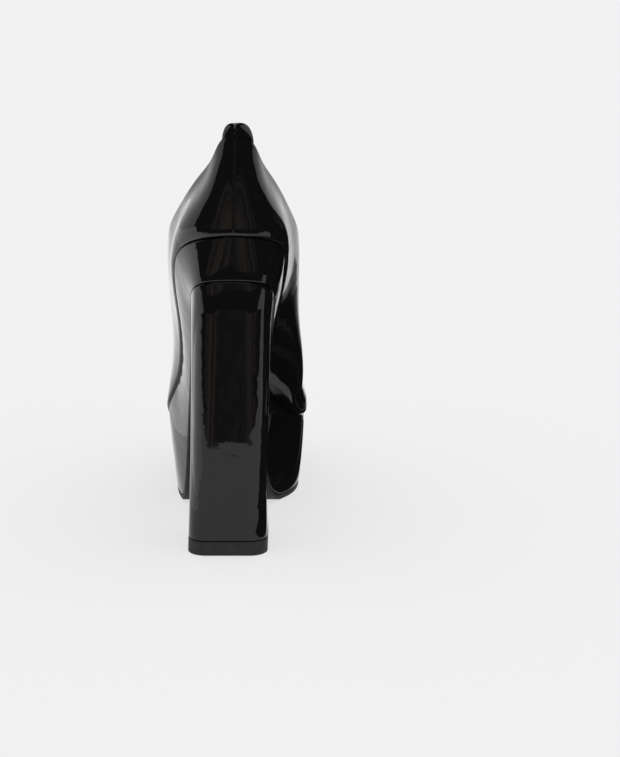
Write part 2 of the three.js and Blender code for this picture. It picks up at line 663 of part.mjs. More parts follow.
const nailLength = 34;
const holes = [screwHole];
[[-7, -13], [14, -13], [-7, 8], [14, 8]].forEach(([x, y], i) => {
  const head = bedTop(y + 2 * NAIL_RADIUS) - 0.8;
  add(`heel_nail_${i + 1}`, fastener(x, y, head, nailLength, NAIL_RADIUS, 2 * NAIL_RADIUS, 1, 10), steel);
  holes.push(rod(x, y, head - nailLength - 1, head - 1 - GAP, NAIL_RADIUS + GAP, 10));
  holes.push(rod(x, y, head - 1 - 2 * GAP, head + ABOVE, 2 * NAIL_RADIUS + GAP, 10));
});
const drill = (solid) => holes.reduce((left, hole) => left.subtract(hole), solid);

// Rivets hold the shank to the insole board.
[['rear', 10], ['front', 70]].forEach(([place, drawnY]) => {
  const y = along(drawnY);
  const x = shankMiddle(y);
  const low = featherHeight(y - RIVET_RADIUS) + GAP;
  const high = bedTop(y + RIVET_RADIUS);
  const bore = rod(x, y, low - 10, high + 10, RIVET_RADIUS + GAP);
  add(`shank_rivet_${place}`, rod(x, y, low, high, RIVET_RADIUS), steel);
  board = board.subtract(bore);
  shank = shank.subtract(bore);
});

upper = drill(upper);
counter = drill(counter);
quarterLining = drill(quarterLining);
board = drill(board);
shank = drill(shank);
soleCore = drill(soleCore);
heelCore = drill(heelCore);

// Pins moulded into the top lift and driven up into the heel.
const PIN_FROM = 3;
const PIN_LENGTH = 24;
[['rear', -9], ['front', 9]].forEach(([place, y]) => {
  const bore = rod(0, y, PIN_FROM - GAP, PIN_FROM + PIN_LENGTH + GAP, PIN_RADIUS + GAP);
  add(`top_lift_pin_${place}`, rod(0, y, PIN_FROM, PIN_FROM + PIN_LENGTH, PIN_RADIUS), steel);
  topLift = topLift.subtract(bore);
  heelCore = heelCore.subtract(bore);
});

add('upper', upper, patent);
add('heel_counter', counter, thermoplastic);
add('quarter_lining', quarterLining, liningLeather);
add('insole_board', board, fibreBoard);
add('steel_shank', shank, steel);
add('sole_core', soleCore, cork);
add('heel_core', heelCore, plastic);
add('top_lift', topLift, rubber);

export default group;
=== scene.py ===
"""A black patent platform pump with a block heel: its fine surfaces, their finishes and the studio.

Every shape is worked out in millimetres on the same last as the frame and placed in metres.
"""

import json
import math

import bmesh
import bpy
import numpy as np
from bpy.props import FloatProperty, FloatVectorProperty, PointerProperty
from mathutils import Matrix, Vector

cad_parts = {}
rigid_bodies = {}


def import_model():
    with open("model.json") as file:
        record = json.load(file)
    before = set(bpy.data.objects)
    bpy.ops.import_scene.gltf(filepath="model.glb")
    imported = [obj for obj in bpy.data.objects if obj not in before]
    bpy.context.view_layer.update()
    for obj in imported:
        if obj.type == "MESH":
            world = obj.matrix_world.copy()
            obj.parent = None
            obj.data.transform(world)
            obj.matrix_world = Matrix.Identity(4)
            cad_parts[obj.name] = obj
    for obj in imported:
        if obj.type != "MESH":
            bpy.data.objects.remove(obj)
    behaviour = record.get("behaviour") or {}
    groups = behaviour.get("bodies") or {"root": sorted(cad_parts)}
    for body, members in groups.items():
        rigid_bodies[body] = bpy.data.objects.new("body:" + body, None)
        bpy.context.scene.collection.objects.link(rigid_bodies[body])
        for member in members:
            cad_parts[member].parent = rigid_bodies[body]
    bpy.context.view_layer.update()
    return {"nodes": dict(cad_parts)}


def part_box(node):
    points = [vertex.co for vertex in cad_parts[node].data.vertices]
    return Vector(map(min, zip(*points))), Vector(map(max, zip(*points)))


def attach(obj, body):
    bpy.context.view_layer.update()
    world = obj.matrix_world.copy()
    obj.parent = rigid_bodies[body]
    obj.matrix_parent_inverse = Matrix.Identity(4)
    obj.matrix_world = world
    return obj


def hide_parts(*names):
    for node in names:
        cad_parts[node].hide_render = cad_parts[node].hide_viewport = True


bl_info = {
    "name": "Platform Pump",
    "version": (1, 0, 0),
    "blender": (4, 5, 0),
    "location": "View3D > Sidebar > Pump",
    "description": "Builds the surfaces and finishes of a patent platform pump around its frame",
    "category": "Add Mesh",
}

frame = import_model()
MM = 0.001


def size_of(node, axis):
    """Length of a node of the frame along an axis, in millimetres."""
    low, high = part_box(node)
    return (high[axis] - low[axis]) / MM


# ---------------------------------------------------------------- the last
# Stations run round the shoe: 0 is the back seam, THROAT the front of the topline, TIP the toe.
TIP = 14
THROAT = 10
RING = 2 * TIP
BACK_Y = -29.0
LENGTH = 200.0
END_REACH = 0.11 * LENGTH
SEAT_HEIGHT = 166.5
TREAD_HEIGHT = 36.0
UPPER_LEATHER = 1.2
LINING = 0.7
OVERHANG = 0.8
TOP_LIFT = size_of("top_lift", 2)
HEEL_WIDTH = size_of("top_lift", 0)
HEEL_DEPTH = size_of("top_lift", 1)
OUTSOLE = 2.5
GAP = 0.3
BREAST_Y = HEEL_DEPTH / 2 - 0.4

# Height of the feather line, as a share of the way from tread to heel seat: y, share.
PITCH = [
    (-29, 1), (-15, 0.943), (0, 0.852), (20, 0.684), (40, 0.498), (60, 0.304), (75, 0.16),
    (85, 0.08), (95, 0.027), (110, 0.004), (130, 0), (150, 0.019), (175, 0.066),
]

# Feather line in plan: inner x, inner y, outer x, outer y.
FEATHER = [
    (4, -29, 4, -29), (15.5, -26.5, -7.5, -26.5), (24.5, -19, -17, -19.5), (29.5, -6, -25, -6),
    (28.5, 12, -27.2, 12), (24.3, 30, -26, 30), (20.8, 48, -25.2, 48), (19.8, 66, -27.5, 66),
    (26, 82, -33.2, 81), (37.3, 97, -33.6, 97), (38, 116, -31.8, 115), (33.5, 133, -27, 132),
    (26, 149, -19, 148), (15.5, 163, -7.5, 162.5), (4, 171, 4, 171),
]

# Topline, back seam to throat: inner x, outer x, y, height over the feather line.
TOPLINE = [
    (5, 5, -20, 53.5), (13.5, -2.6, -16.5, 51), (17.7, -7, -10, 45.5), (22, -12.6, -1, 43.5),
    (27.2, -19.3, 10, 43.5), (32.3, -26.3, 26, 47.5), (35.5, -30.8, 45, 55), (33.5, -29.5, 68, 61),
    (29.5, -24, 93, 57), (20.5, -15, 117, 43.5), (3, 3, 126, 41.5),
]

# Middle of the vamp, throat to tip: x, y, height over the feather line.
RIDGE = [(3, 126, 41.5), (3.3, 140, 34), (3.6, 152, 26), (3.9, 163, 18), (4, 171, 9)]

# Bulge of the upper at each station, as the handles of its curve from feather line to top:
# outward on the inner side, outward on the outer side, up; then at the top outward and down.
BULGE = [
    (3, 3, 18, 1.5, 16), (3, 3, 17, 2, 16), (3, 3, 16, 2, 15), (4, 3, 15, 2, 14),
    (7, 4, 14, 2, 14), (10, 4, 13, 2, 16), (14, 3, 12, 1.5, 20), (23, 1.5, 10, 1.5, 24),
    (28, 0.5, 12, 3, 20), (9, 0.5, 14, 8, 13), (3, 2, 15, 17, 0), (2.5, 2.5, 14, 17, 0),
    (2, 2, 12, 14, 0), (1.5, 1.5, 9, 8, 0), (1, 1, 3, 1, 0),
]

# Bottom edge of the sole unit in plan: inner x, outer x, y.
UNIT_EDGE = [
    (3, 3, -27), (14.5, -8.4, -25.8), (21.4, -15.2, -20), (24, -17.8, -7), (23.4, -18.3, 9),
    (21, -18.8, 25), (18, -20, 39), (17, -21.5, 51), (20.5, -24, 63), (31.8, -28.2, 80),
    (35.2, -29, 104), (31, -24, 126), (23.5, -16.5, 144), (13.5, -5.5, 158), (4, 4, 165.5),
]

# Drop of the sole unit's bottom below the feather line behind the ball, then its height: y, value.
UNIT_DROP = [(-27, 22), (0, 22), (25, 23), (39, 25.5), (51, 34)]
UNDERSIDE = [(59, 21.6), (65, 4), (71, 0), (132, 0), (150, 1.5), (170, 5)]

# Heel block: share of its height, middle x, back y, then width, depth and the rounding of the back
# corners over those at the tread.
HEEL_SHAPE = [
    (0, 0, -21, 0, 0, 0), (0.4, 0.6, -20.6, -2.3, -1.5, 1), (0.72, 1.8, -22.6, -1.4, 0.5, 3),
    (1, 3.2, -27, 2, 7, 4.5),
]
HEEL_CORNER = 9.0
BREAST_CORNER = 3.0


class Spline:
    """Smooth curve through points spaced one unit of travel apart."""

    def __init__(self, points, closed):
        self.points = np.array(points, float)
        self.closed = closed
        count = len(self.points)
        matrix = 4 * np.eye(count)
        change = np.zeros_like(self.points)
        for i in range(count):
            before, after = (i - 1) % count, (i + 1) % count
            matrix[i, before] += 1
            matrix[i, after] += 1
            change[i] = 6 * (self.points[after] - 2 * self.points[i] + self.points[before])
        if not closed:
            for end in (0, count - 1):
                matrix[end] = 0
                matrix[end, end] = 1
                change[end] = 0
        self.bend = np.linalg.solve(matrix, change)

    def __call__(self, travel):
        travel = np.asarray(travel, float)
        count = len(self.points)
        if self.closed:
            travel = travel % count
        low = np.clip(np.floor(travel).astype(int), 0, count - (1 if self.closed else 2))
        high = (low + 1) % count
        near = (travel - low)[..., None]
        far = 1 - near
        return (
            far * self.points[low]
            + near * self.points[high]
            + ((far**3 - far) * self.bend[low] + (near**3 - near) * self.bend[high]) / 6
        )


def profile(rows, at):
    """Smooth profile through rows of position and value, which never swings past a row."""
    xs = np.array([row[0] for row in rows], float)
    ys = np.array([row[1] for row in rows], float)
    rate = np.diff(ys) / np.diff(xs)
    before = np.concatenate([rate[:1], rate])
    after = np.concatenate([rate, rate[-1:]])
    total = np.where(before * after > 0, before + after, 1)
    slope = np.where(before * after > 0, 2 * before * after / total, 0)
    at = np.asarray(at, float)
    i = np.clip(np.searchsorted(xs, at, side="left") - 1, 0, len(xs) - 2)
    span = xs[i + 1] - xs[i]
    t = np.clip((at - xs[i]) / span, 0, 1)
    ease = t * t * (3 - 2 * t)
    swing = span * t * (1 - t) * ((1 - t) * slope[i] - t * slope[i + 1])
    return ys[i] + (ys[i + 1] - ys[i]) * ease + swing


def smooth(t, low=0.0, high=1.0):
    """Eases from 0 to 1 while t goes from low to high."""
    t = np.clip((np.asarray(t, float) - low) / (high - low), 0, 1)
    return t * t * (3 - 2 * t)


def unit(v):
    """Vectors of length 1 in the same directions."""
    return v / np.maximum(np.linalg.norm(v, axis=-1, keepdims=True), 1e-12)


def ring(inner, outer):
    """Closed spline through the inner points from back to front, then the outer ones back again."""
    return Spline(list(inner) + list(outer)[-2:0:-1], True)


feather_plan = ring([row[:2] for row in FEATHER], [row[2:] for row in FEATHER])
topline = ring(
    [(row[0], row[2], row[3]) for row in TOPLINE], [(row[1], row[2], row[3]) for row in TOPLINE]
)
ridge = Spline(RIDGE + RIDGE[-2::-1], False)
unit_plan = ring([(row[0], row[2]) for row in UNIT_EDGE], [(row[1], row[2]) for row in UNIT_EDGE])
bulge = ring([(row[0],) + row[2:] for row in BULGE], [(row[1],) + row[2:] for row in BULGE])


def feather_height(y):
    """Height of the feather line at y."""
    return TREAD_HEIGHT + (SEAT_HEIGHT - TREAD_HEIGHT) * profile(PITCH, y)


def unit_bottom(y):
    """Height of the sole unit's underside at y."""
    rows = [(at, float(feather_height(at)) - drop) for at, drop in UNIT_DROP]
    rows += [(at, OUTSOLE + GAP + height) for at, height in UNDERSIDE]
    return profile(rows, y)


def station(s):
    """Station on the inner side that a place round the shoe is level with."""
    s = np.asarray(s, float) % RING
    return np.minimum(s, RING - s)


def is_inner(s):
    """Whether a place round the shoe is on its inner side."""
    return np.asarray(s, float) % RING <= TIP


def outward(plan, s):
    """Level direction out of a plan curve."""
    way = plan(s + 0.01) - plan(s - 0.01)
    return unit(np.stack([way[..., 1], -way[..., 0], np.zeros(way.shape[:-1])], -1))


def on_height(flat, height):
    """Points of a plan, raised to a height that depends on y."""
    return np.concatenate([flat[..., :2], height(flat[..., 1])[..., None]], -1)


def over_feather(at):
    """Points whose height is given over the feather line, raised to their own height."""
    return np.concatenate([at[..., :2], (feather_height(at[..., 1]) + at[..., 2])[..., None]], -1)


def top(s):
    """Top end of the upper's curve: on the topline, or on the middle of the vamp."""
    k = station(s)
    travel = np.where(is_inner(s), k, 2 * THROAT - k)
    on_ridge = ridge(np.clip(k - THROAT, 0, TIP - THROAT))
    at = np.where((k < THROAT)[..., None], topline(travel), on_ridge)
    return over_feather(at)


def vamp_way(k):
    """Direction forward along the middle of the vamp."""
    return unit(top(np.clip(k + 0.02, THROAT, TIP)) - top(np.clip(k - 0.02, THROAT, TIP)))


def upper_face(s, v):
    """Points of the upper's outer face: v is 0 at the feather line and 1 at the top."""
    s, v = np.broadcast_arrays(np.asarray(s, float), np.asarray(v, float))
    k = station(s)
    out = outward(feather_plan, s)
    handles = bulge(s)
    sideways = np.zeros_like(out)
    sideways[..., 0] = np.where(is_inner(s), 1, -1)
    turn = smooth(k, THROAT - 1.5, THROAT)[..., None]
    top_out = unit(out * (1 - turn) + sideways * turn)
    fan = np.clip(1 - np.abs(k - THROAT), 0, 1)[..., None]
    top_out = unit(top_out + vamp_way(k) * fan)
    low = on_height(feather_plan(s), feather_height)
    high = top(s)
    low_handle = low + out * handles[..., :1]
    low_handle[..., 2] += handles[..., 1]
    high_handle = high + top_out * handles[..., 2:3]
    high_handle[..., 2] -= handles[..., 3]
    t = v[..., None]
    return (
        (1 - t) ** 3 * low
        + 3 * t * (1 - t) ** 2 * low_handle
        + 3 * t**2 * (1 - t) * high_handle
        + t**3 * high
    )


def topline_way(s):
    """Direction along the topline, or along the middle of the vamp, at the top of a station."""
    k = station(s)
    travel = np.where(is_inner(s), k, 2 * THROAT - k)
    step = 0.01
    ends = [over_feather(topline(travel + side * step)) for side in (1, -1)]
    along_edge = unit(ends[0] - ends[1])
    return np.where((k <= THROAT)[..., None], along_edge, vamp_way(k))


def upper_normal(s, v):
    """Direction out of the upper's face."""
    s, v = np.broadcast_arrays(np.asarray(s, float), np.asarray(v, float))
    k = station(s)
    around = upper_face(s + 0.02, v) - upper_face(s - 0.02, v)
    edge = (v > 0.995) & (k < THROAT + 0.02)
    around = np.where(edge[..., None], topline_way(s), around)
    rising = upper_face(s, np.minimum(v + 0.01, 1)) - upper_face(s, np.maximum(v - 0.01, 0))
    normal = unit(np.cross(around, rising))
    middle = vamp_way(k)
    crown = unit(np.stack([np.zeros_like(k), -middle[..., 2], middle[..., 1]], -1))
    on_middle = (v > 0.995) & (k >= THROAT - 0.001)
    return np.where(on_middle[..., None], crown, normal)


def bed_normal(y, height):
    """Direction up from a sheet whose height depends on y."""
    y = np.asarray(y, float)
    fall = height(y - 0.5) - height(y + 0.5)
    return unit(np.stack([np.zeros_like(y), fall, np.ones_like(y)], -1))


def spine(plan, s):
    """Middle line of a plan, opposite a station, drawn in at both ends."""
    both = (plan(s) + plan(-np.asarray(s, float))) / 2
    middle = BACK_Y + LENGTH / 2
    both[..., 1] = middle + (both[..., 1] - middle) * (1 - 2 * END_REACH / LENGTH)
    return both


def sheet_point(plan, height, s, w, inset, lift):
    """Point of a sheet over a plan: w is 0 on the middle line and 1 on the edge."""
    edge = plan(s)[..., :2] - outward(plan, s)[..., :2] * inset
    middle = spine(plan, s)[..., :2]
    flat = middle + (edge - middle) * w
    return on_height(flat, height) + bed_normal(flat[..., 1], height) * lift


def underside(s, w, inset, lift):
    """Point under the sole unit. An inset moves it level, so that layers stay apart at the drop."""
    return sheet_point(unit_plan, unit_bottom, s, w, 0, lift) - outward(unit_plan, s) * inset * w


def ceiling(s, w, inset, lift):
    """Point on top of the sole unit."""
    return sheet_point(feather_plan, feather_height, s, w, OVERHANG + inset, lift)


# ---------------------------------------------------------------- outlines and meshes
def straight(start, end, count):
    """Points from one point up to, but not at, another."""
    return [start + (end - start) * (i / count) for i in range(count)]


def rounded(before, corner, after, radius, count=6):
    """Points round a corner of an outline."""
    start = corner + unit(before - corner) * radius
    end = corner + unit(after - corner) * radius
    return [
        (1 - t) ** 2 * start + 2 * t * (1 - t) * corner + t**2 * end
        for t in (i / (count - 1) for i in range(count))
    ]


def mesh_piece(name, outline, closed, drop=None):
    """Piece through outlines: a grid with one column per station, moved onto the outline's points.

    outline lists the points round the section, each an array over the stations. The section is a
    closed loop. drop names the faces to leave out, by the column and row of their middle.
    """
    places = np.stack(outline, 1) * MM
    columns, rows = places.shape[:2]
    around = columns if closed else columns - 1
    mesh = bpy.data.meshes.new(name)
    bm = bmesh.new()
    bmesh.ops.create_grid(bm, x_segments=around, y_segments=rows, size=1)
    lie = bm.loops.layers.uv.new("Lie")
    grid_at = {}
    for vert in bm.verts:
        column = round((vert.co.x + 1) / 2 * around)
        row = round((vert.co.y + 1) / 2 * rows)
        grid_at[vert] = (column, row)
    for face in bm.faces:
        for loop in face.loops:
            column, row = grid_at[loop.vert]
            loop[lie].uv = (column / around, row / rows)
    gone = []
    for face in bm.faces:
        column = sum(grid_at[v][0] for v in face.verts) / 4
        row = sum(grid_at[v][1] for v in face.verts) / 4
        if drop is not None and drop(column, row):
            gone.append(face)
    for vert, (column, row) in grid_at.items():
        vert.co = places[column % columns, row % rows]
    bmesh.ops.delete(bm, geom=gone, context="FACES")
    bmesh.ops.remove_doubles(bm, verts=bm.verts, dist=2e-6)
    if not closed:
        bmesh.ops.holes_fill(bm, edges=[e for e in bm.edges if e.is_boundary], sides=0)
    bmesh.ops.recalc_face_normals(bm, faces=bm.faces)
    finish_mesh(bm, mesh)
    return place_piece(name, mesh)


def finish_mesh(bm, mesh):
    """Smooth shading, with sharp edges kept, and faces turned out."""
    if bm.calc_volume(signed=True) < 0:
        bmesh.ops.reverse_faces(bm, faces=bm.faces)
    for face in bm.faces:
        face.smooth = True
    for edge in bm.edges:
        edge.smooth = edge.calc_face_angle(0) < math.radians(50)
    bm.to_mesh(mesh)
    bm.free()


def place_piece(name, mesh):
    """Puts a finished mesh in the scene, on the one body of the shoe."""
    piece = bpy.data.objects.new(name, mesh)
    bpy.context.scene.collection.objects.link(piece)
    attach(piece, "root")
    return piece


def cut(piece, y, keep_front):
    """Cuts a closed piece with an upright plane across the shoe and closes it again."""
    bm = bmesh.new()
    bm.from_mesh(piece.data)
    bmesh.ops.bisect_plane(
        bm,
        geom=bm.verts[:] + bm.edges[:] + bm.faces[:],
        plane_co=(0, y * MM, 0),
        plane_no=(0, 1, 0),
        clear_inner=keep_front,
        clear_outer=not keep_front,
    )
    bmesh.ops.holes_fill(bm, edges=[e for e in bm.edges if e.is_boundary], sides=0)
    bmesh.ops.recalc_face_normals(bm, faces=bm.faces)
    finish_mesh(bm, piece.data)


def take(piece, *nodes, slot, material):
    """The piece stands for these nodes of the frame, which it hides, and takes the material given.
    The slot is not used.
    """
    if nodes:
        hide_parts(*nodes)
    piece.data.materials.clear()
    piece.data.materials.append(material)
    return piece


# ---------------------------------------------------------------- upper
SEAM_COLUMNS = (0.006, 0.012, 0.02, 0.03, 0.042, 0.058, 0.08, 0.105)
RIM = 2.6  # thickness of the folded edge at the topline
KEEL_HEIGHT = 2.1  # the sharp fold up the back
KEEL_REACH = 9.0
SEAM_FOOT = 0.35  # height of the pressed ridge at the feather line
SEAM_RISE = 0.65  # what it gains on the way up
SEAM_SPREAD = 1.3
GROOVE_DEPTH = 0.3
GROOVE_WIDTH = 0.2
WALL_FROM = 0.035  # lowest row of the outer face, as a share of the way up
INSIDE_FROM = 0.06  # lowest row of the inner face
FOOT_ROUNDING = 2.4  # where the wall turns in under the foot
SKIVE = 4.5  # length over which the edge thickens to its fold
FOLD_STEPS = 10


def round_stations(per_station, fine=()):
    """Stations all round, with finer ones each side of the back seam."""
    even = [i / per_station for i in range(RING * per_station)]
    return np.array(sorted(set(even + list(fine) + [RING - f for f in fine])))


def keel(reach, v):
    """Height of the sharp fold that the back runs up to, at a distance from its seam."""
    return KEEL_HEIGHT * smooth(v, 0.35, 1.0) * np.maximum(1 - reach / KEEL_REACH, 0) ** 2


def seam_relief(s, v):
    """Height of the back seam over the leather: a pressed ridge with a fine groove."""
    reach = np.linalg.norm(upper_face(s, v) - upper_face(np.zeros_like(s), v), axis=-1)
    ridge_height = SEAM_FOOT + SEAM_RISE * smooth(v, 0.1, 0.95)
    groove = GROOVE_DEPTH * np.exp(-((reach / GROOVE_WIDTH) ** 2))
    return keel(reach, v) + ridge_height * np.exp(-((reach / SEAM_SPREAD) ** 1.2)) - groove


def wall_face(s, v, depth):
    """Points at a depth inside the upper's face. The face itself carries the back seam."""
    v = np.broadcast_to(v, s.shape)
    relief = seam_relief(s, v) if depth == 0 else np.zeros_like(s)
    return upper_face(s, v) - upper_normal(s, v) * (depth - relief)[:, None]


def wall_outline(s, depth, thick, rim_thick, sink, rows, margin):
    """Section of a layer of the upper: turned-in margin, wall, rolled edge, and back down inside.

    depth is of its outer face, sink is how far its top edge lies below the topline.
    """
    k = station(s)
    on_edge = k <= THROAT + 1e-6
    tangent = topline_way(s)
    normal = upper_normal(s, np.ones_like(s))
    edge_out = unit(np.cross(normal, tangent))
    crest = top(s) - normal * depth
    lowered = np.where(on_edge[:, None], sink, 0)
    radius = rim_thick / 2
    speed = np.linalg.norm(upper_face(s, 1.0) - upper_face(s, 0.98), axis=-1) / 0.02
    v_top = np.where(on_edge, 1 - (sink + 2.6 * radius) / speed, 1 - 1.2 / speed)
    v_skive = np.where(on_edge, 1 - (sink + SKIVE) / speed, 1 - SKIVE / speed)

    def low_corner(inside):
        inward = -outward(feather_plan, s)
        at = on_height(feather_plan(s), feather_height)
        up = bed_normal(at[:, 1], feather_height)
        miter = inside / (1 + np.sum(inward * up, -1, keepdims=True))
        return at + (inward + up) * miter

    def tucked(inside):
        return sheet_point(feather_plan, feather_height, s, 1 - margin, inside, inside)

    foot = rounded(tucked(depth), low_corner(depth), wall_face(s, 0.08, depth), FOOT_ROUNDING, 9)
    points = straight(tucked(depth), foot[0], 3) + foot
    for i in range(1, rows + 1):
        v = WALL_FROM + (v_top - WALL_FROM) * (i / rows)
        points.append(wall_face(s, v, depth))
    reach = np.linalg.norm(crest - top(np.zeros(1)), axis=-1)
    raised = (keel(reach, 1.0) if depth == 0 else np.zeros_like(s))[:, None]
    centre = crest + normal * (raised - radius) - edge_out * (radius + lowered)
    for i in range(FOLD_STEPS + 1):
        angle = math.pi * i / FOLD_STEPS
        over, past = radius * math.cos(angle), radius * math.sin(angle)
        rolled = centre + normal * over + edge_out * past
        joined = crest - normal * (rim_thick * i / FOLD_STEPS)
        rolled = rolled - normal * raised * (i / FOLD_STEPS)
        points.append(np.where(on_edge[:, None], rolled, joined))
    back = depth + thick
    inside_rows = max(rows // 2, 8)
    for i in range(inside_rows):
        share = 1 - i / (inside_rows - 1)
        v = INSIDE_FROM + (v_top - INSIDE_FROM) * share
        swell = (rim_thick - thick) * smooth(v, v_skive, v_top)
        points.append(upper_face(s, v) - upper_normal(s, v) * np.reshape(back + swell, (-1, 1)))
    points += [low_corner(back), tucked(back)]
    return points, rows + 12


def layer(name, s, closed, depth, thick, rim_thick, sink, rows, margin=0.3):
    """A layer of the upper as a piece. Its edges meet along the middle of the vamp."""
    points, first = wall_outline(s, depth, thick, rim_thick, sink, rows, margin)
    k = station(s)

    def along_ridge(column, row):
        near = k[int(column) % len(k)]
        far = k[(int(column) + 1) % len(k)]
        return min(near, far) >= THROAT - 1e-6 and first <= row <= first + FOLD_STEPS

    return mesh_piece(name, points, closed, along_ridge)


LINING_JOIN = 7  # station where the quarter lining meets the vamp lining
JOIN_GAP = 0.02  # half the gap there, in stations
LINING_FROM = UPPER_LEATHER + 1.7
LINING_SINK = 0.5


def build_upper(patent):
    """Upper in one closed piece round the shoe."""
    s = round_stations(8, SEAM_COLUMNS)
    piece = layer("Upper", s, True, 0, UPPER_LEATHER, RIM, 0, 44)
    return take(piece, "upper", slot="patent_leather", material=patent)


def build_linings(leather):
    """Quarter lining round the heel, and vamp lining ahead of it."""
    back = np.linspace(-LINING_JOIN, LINING_JOIN, 8 * LINING_JOIN + 1)
    first = LINING_JOIN + JOIN_GAP
    front = np.linspace(first, RING - LINING_JOIN - JOIN_GAP, 8 * (TIP - LINING_JOIN) + 1)
    wall = (False, LINING_FROM, LINING, LINING, LINING_SINK, 30)
    quarter = layer("Quarter_lining", back, *wall)
    take(quarter, "quarter_lining", slot="lining_leather", material=leather)
    vamp = layer("Vamp_lining", front, *wall)
    take(vamp, "vamp_lining", slot="lining_leather", material=leather)


TAB_FROM = -0.78
TAB_TO = 1.08
TAB_HEIGHT = 5.0
TAB_THICK = 1.5
TAB_DOME = 0.6  # power that rounds its top
TAB_SKEW = 0.14  # how far its top lies towards the outer side
TAB_SINK = 0.8  # depth of its foot below the topline
TAB_PROUD = 0.5  # of the upper behind it
TAB_LEAN = (0.1, 0.13)  # forward with height, and with height squared


def build_tab(patent):
    """Tab over the top of the back seam: domed, leaning in, with a soft edge all round."""
    share = np.sin(np.linspace(-math.pi / 2, math.pi / 2, 61))
    s = TAB_FROM + (share + 1) / 2 * (TAB_TO - TAB_FROM)
    rim = top(s)
    level = top(np.zeros(1))[0, 2] - rim[:, 2]
    dome = np.maximum(1 - share**2, 0) ** TAB_DOME * (1 - TAB_SKEW * share)
    height = np.maximum((level + TAB_HEIGHT) * dome, 0.6)
    out = outward(feather_plan, s)
    taper = np.maximum(1 - np.abs(share) ** 6, 0.02) ** 0.5
    thick = TAB_THICK * taper
    reach = np.linalg.norm(rim - top(np.zeros(1)), axis=-1)
    proud = TAB_PROUD * taper + keel(reach, 1.0)
    face = height - 0.3 * thick

    def at(lift, depth):
        lean = TAB_LEAN[0] * lift + TAB_LEAN[1] * np.maximum(lift, 0) ** 2
        place = rim - out * (depth - proud)[:, None]
        place[:, 1] += lean
        place[:, 2] += lift
        return place

    points = []
    for i in range(15):
        points.append(at(-TAB_SINK + face * (i / 14), np.zeros_like(s)))
    radius = thick / 2
    for i in range(1, 10):
        angle = math.pi * i / 10
        lift = -TAB_SINK + face + radius * math.sin(angle)
        points.append(at(lift, radius * (1 - math.cos(angle))))
    for i in range(8):
        points.append(at(-TAB_SINK + face * (1 - i / 7), thick))
    piece = mesh_piece("Back_tab", points, False)
    return take(piece, "back_tab", slot="patent_leather", material=patent)


# ---------------------------------------------------------------- sole unit
COVER_TOP_MARGIN = 0.8  # inner edge of the cover on top of the unit: 0 is the middle line
COVER_LOW_MARGIN = 0.85  # and under it
COVER_LEATHER = 1.0
COVER_SINK = 0.35  # its top face, below the feather line
COVER_SWELL = 0.5
COVER_ROWS = 18


def build_sole_cover(patent):
    """Patent leather wrapped round the sole unit, turned in above and below."""
    s = round_stations(8)
    top_in = ceiling(s, COVER_TOP_MARGIN, 0, -COVER_SINK)
    top_edge = ceiling(s, 1, 0, -COVER_SINK)
    low_edge = underside(s, 1, 0, 0.05)
    low_in = underside(s, COVER_LOW_MARGIN, 0, 0.05)
    swell = outward(feather_plan, s)
    upper_round = rounded(top_in, top_edge, low_edge, 1.3, 8)
    lower_round = rounded(top_edge, low_edge, low_in, 0.9, 7)
    points = straight(top_in, upper_round[0], 3) + upper_round
    for i in range(1, COVER_ROWS):
        t = i / COVER_ROWS
        side = upper_round[-1] + (lower_round[0] - upper_round[-1]) * t
        points.append(side + swell * (COVER_SWELL * 4 * t * (1 - t)))
    points += lower_round + [low_in]
    for w in (COVER_LOW_MARGIN, 1):
        points.append(underside(s, w, COVER_LEATHER, COVER_LEATHER))
    for w in (1, COVER_TOP_MARGIN):
        points.append(ceiling(s, w, COVER_LEATHER, -1.4))
    piece = mesh_piece("Sole_unit_cover", points, True)
    return take(piece, "sole_cover", slot="patent_leather", material=patent)


def build_outsole(rubber):
    """Outsole from the toe to the heel breast."""
    s = round_stations(8)
    levels = [0.0, 0.2, 0.4, 0.6, 0.8, 0.93]
    upper_edge = underside(s, 1, GAP, -GAP)
    lower_edge = underside(s, 1, GAP, -GAP - OUTSOLE)
    upper_in = underside(s, 0.93, GAP, -GAP)
    lower_in = underside(s, 0.93, GAP, -GAP - OUTSOLE)
    points = [underside(s, w, GAP, -GAP) for w in levels]
    points += rounded(upper_in, upper_edge, lower_edge, 0.45, 5)
    points += rounded(upper_edge, lower_edge, lower_in, 0.6, 6)
    points += [underside(s, w, GAP, -GAP - OUTSOLE) for w in reversed(levels)]
    piece = mesh_piece("Outsole", points, True, lambda column, row: row > len(points) - 1)
    cut(piece, BREAST_Y + GAP, True)
    return take(piece, "outsole", slot="sole_rubber", material=rubber)


# ---------------------------------------------------------------- heel
SEAT_BACK = float(unit_bottom(-27.0))
SHAPE_BACK = 21  # back of the tread in HEEL_SHAPE, from the middle of the tread
SEAT_MIDDLE = np.array([3.0, -2.0])
SEAT_FIT = (0.62, 0.9)  # shares of the height between which the heel draws in under the unit


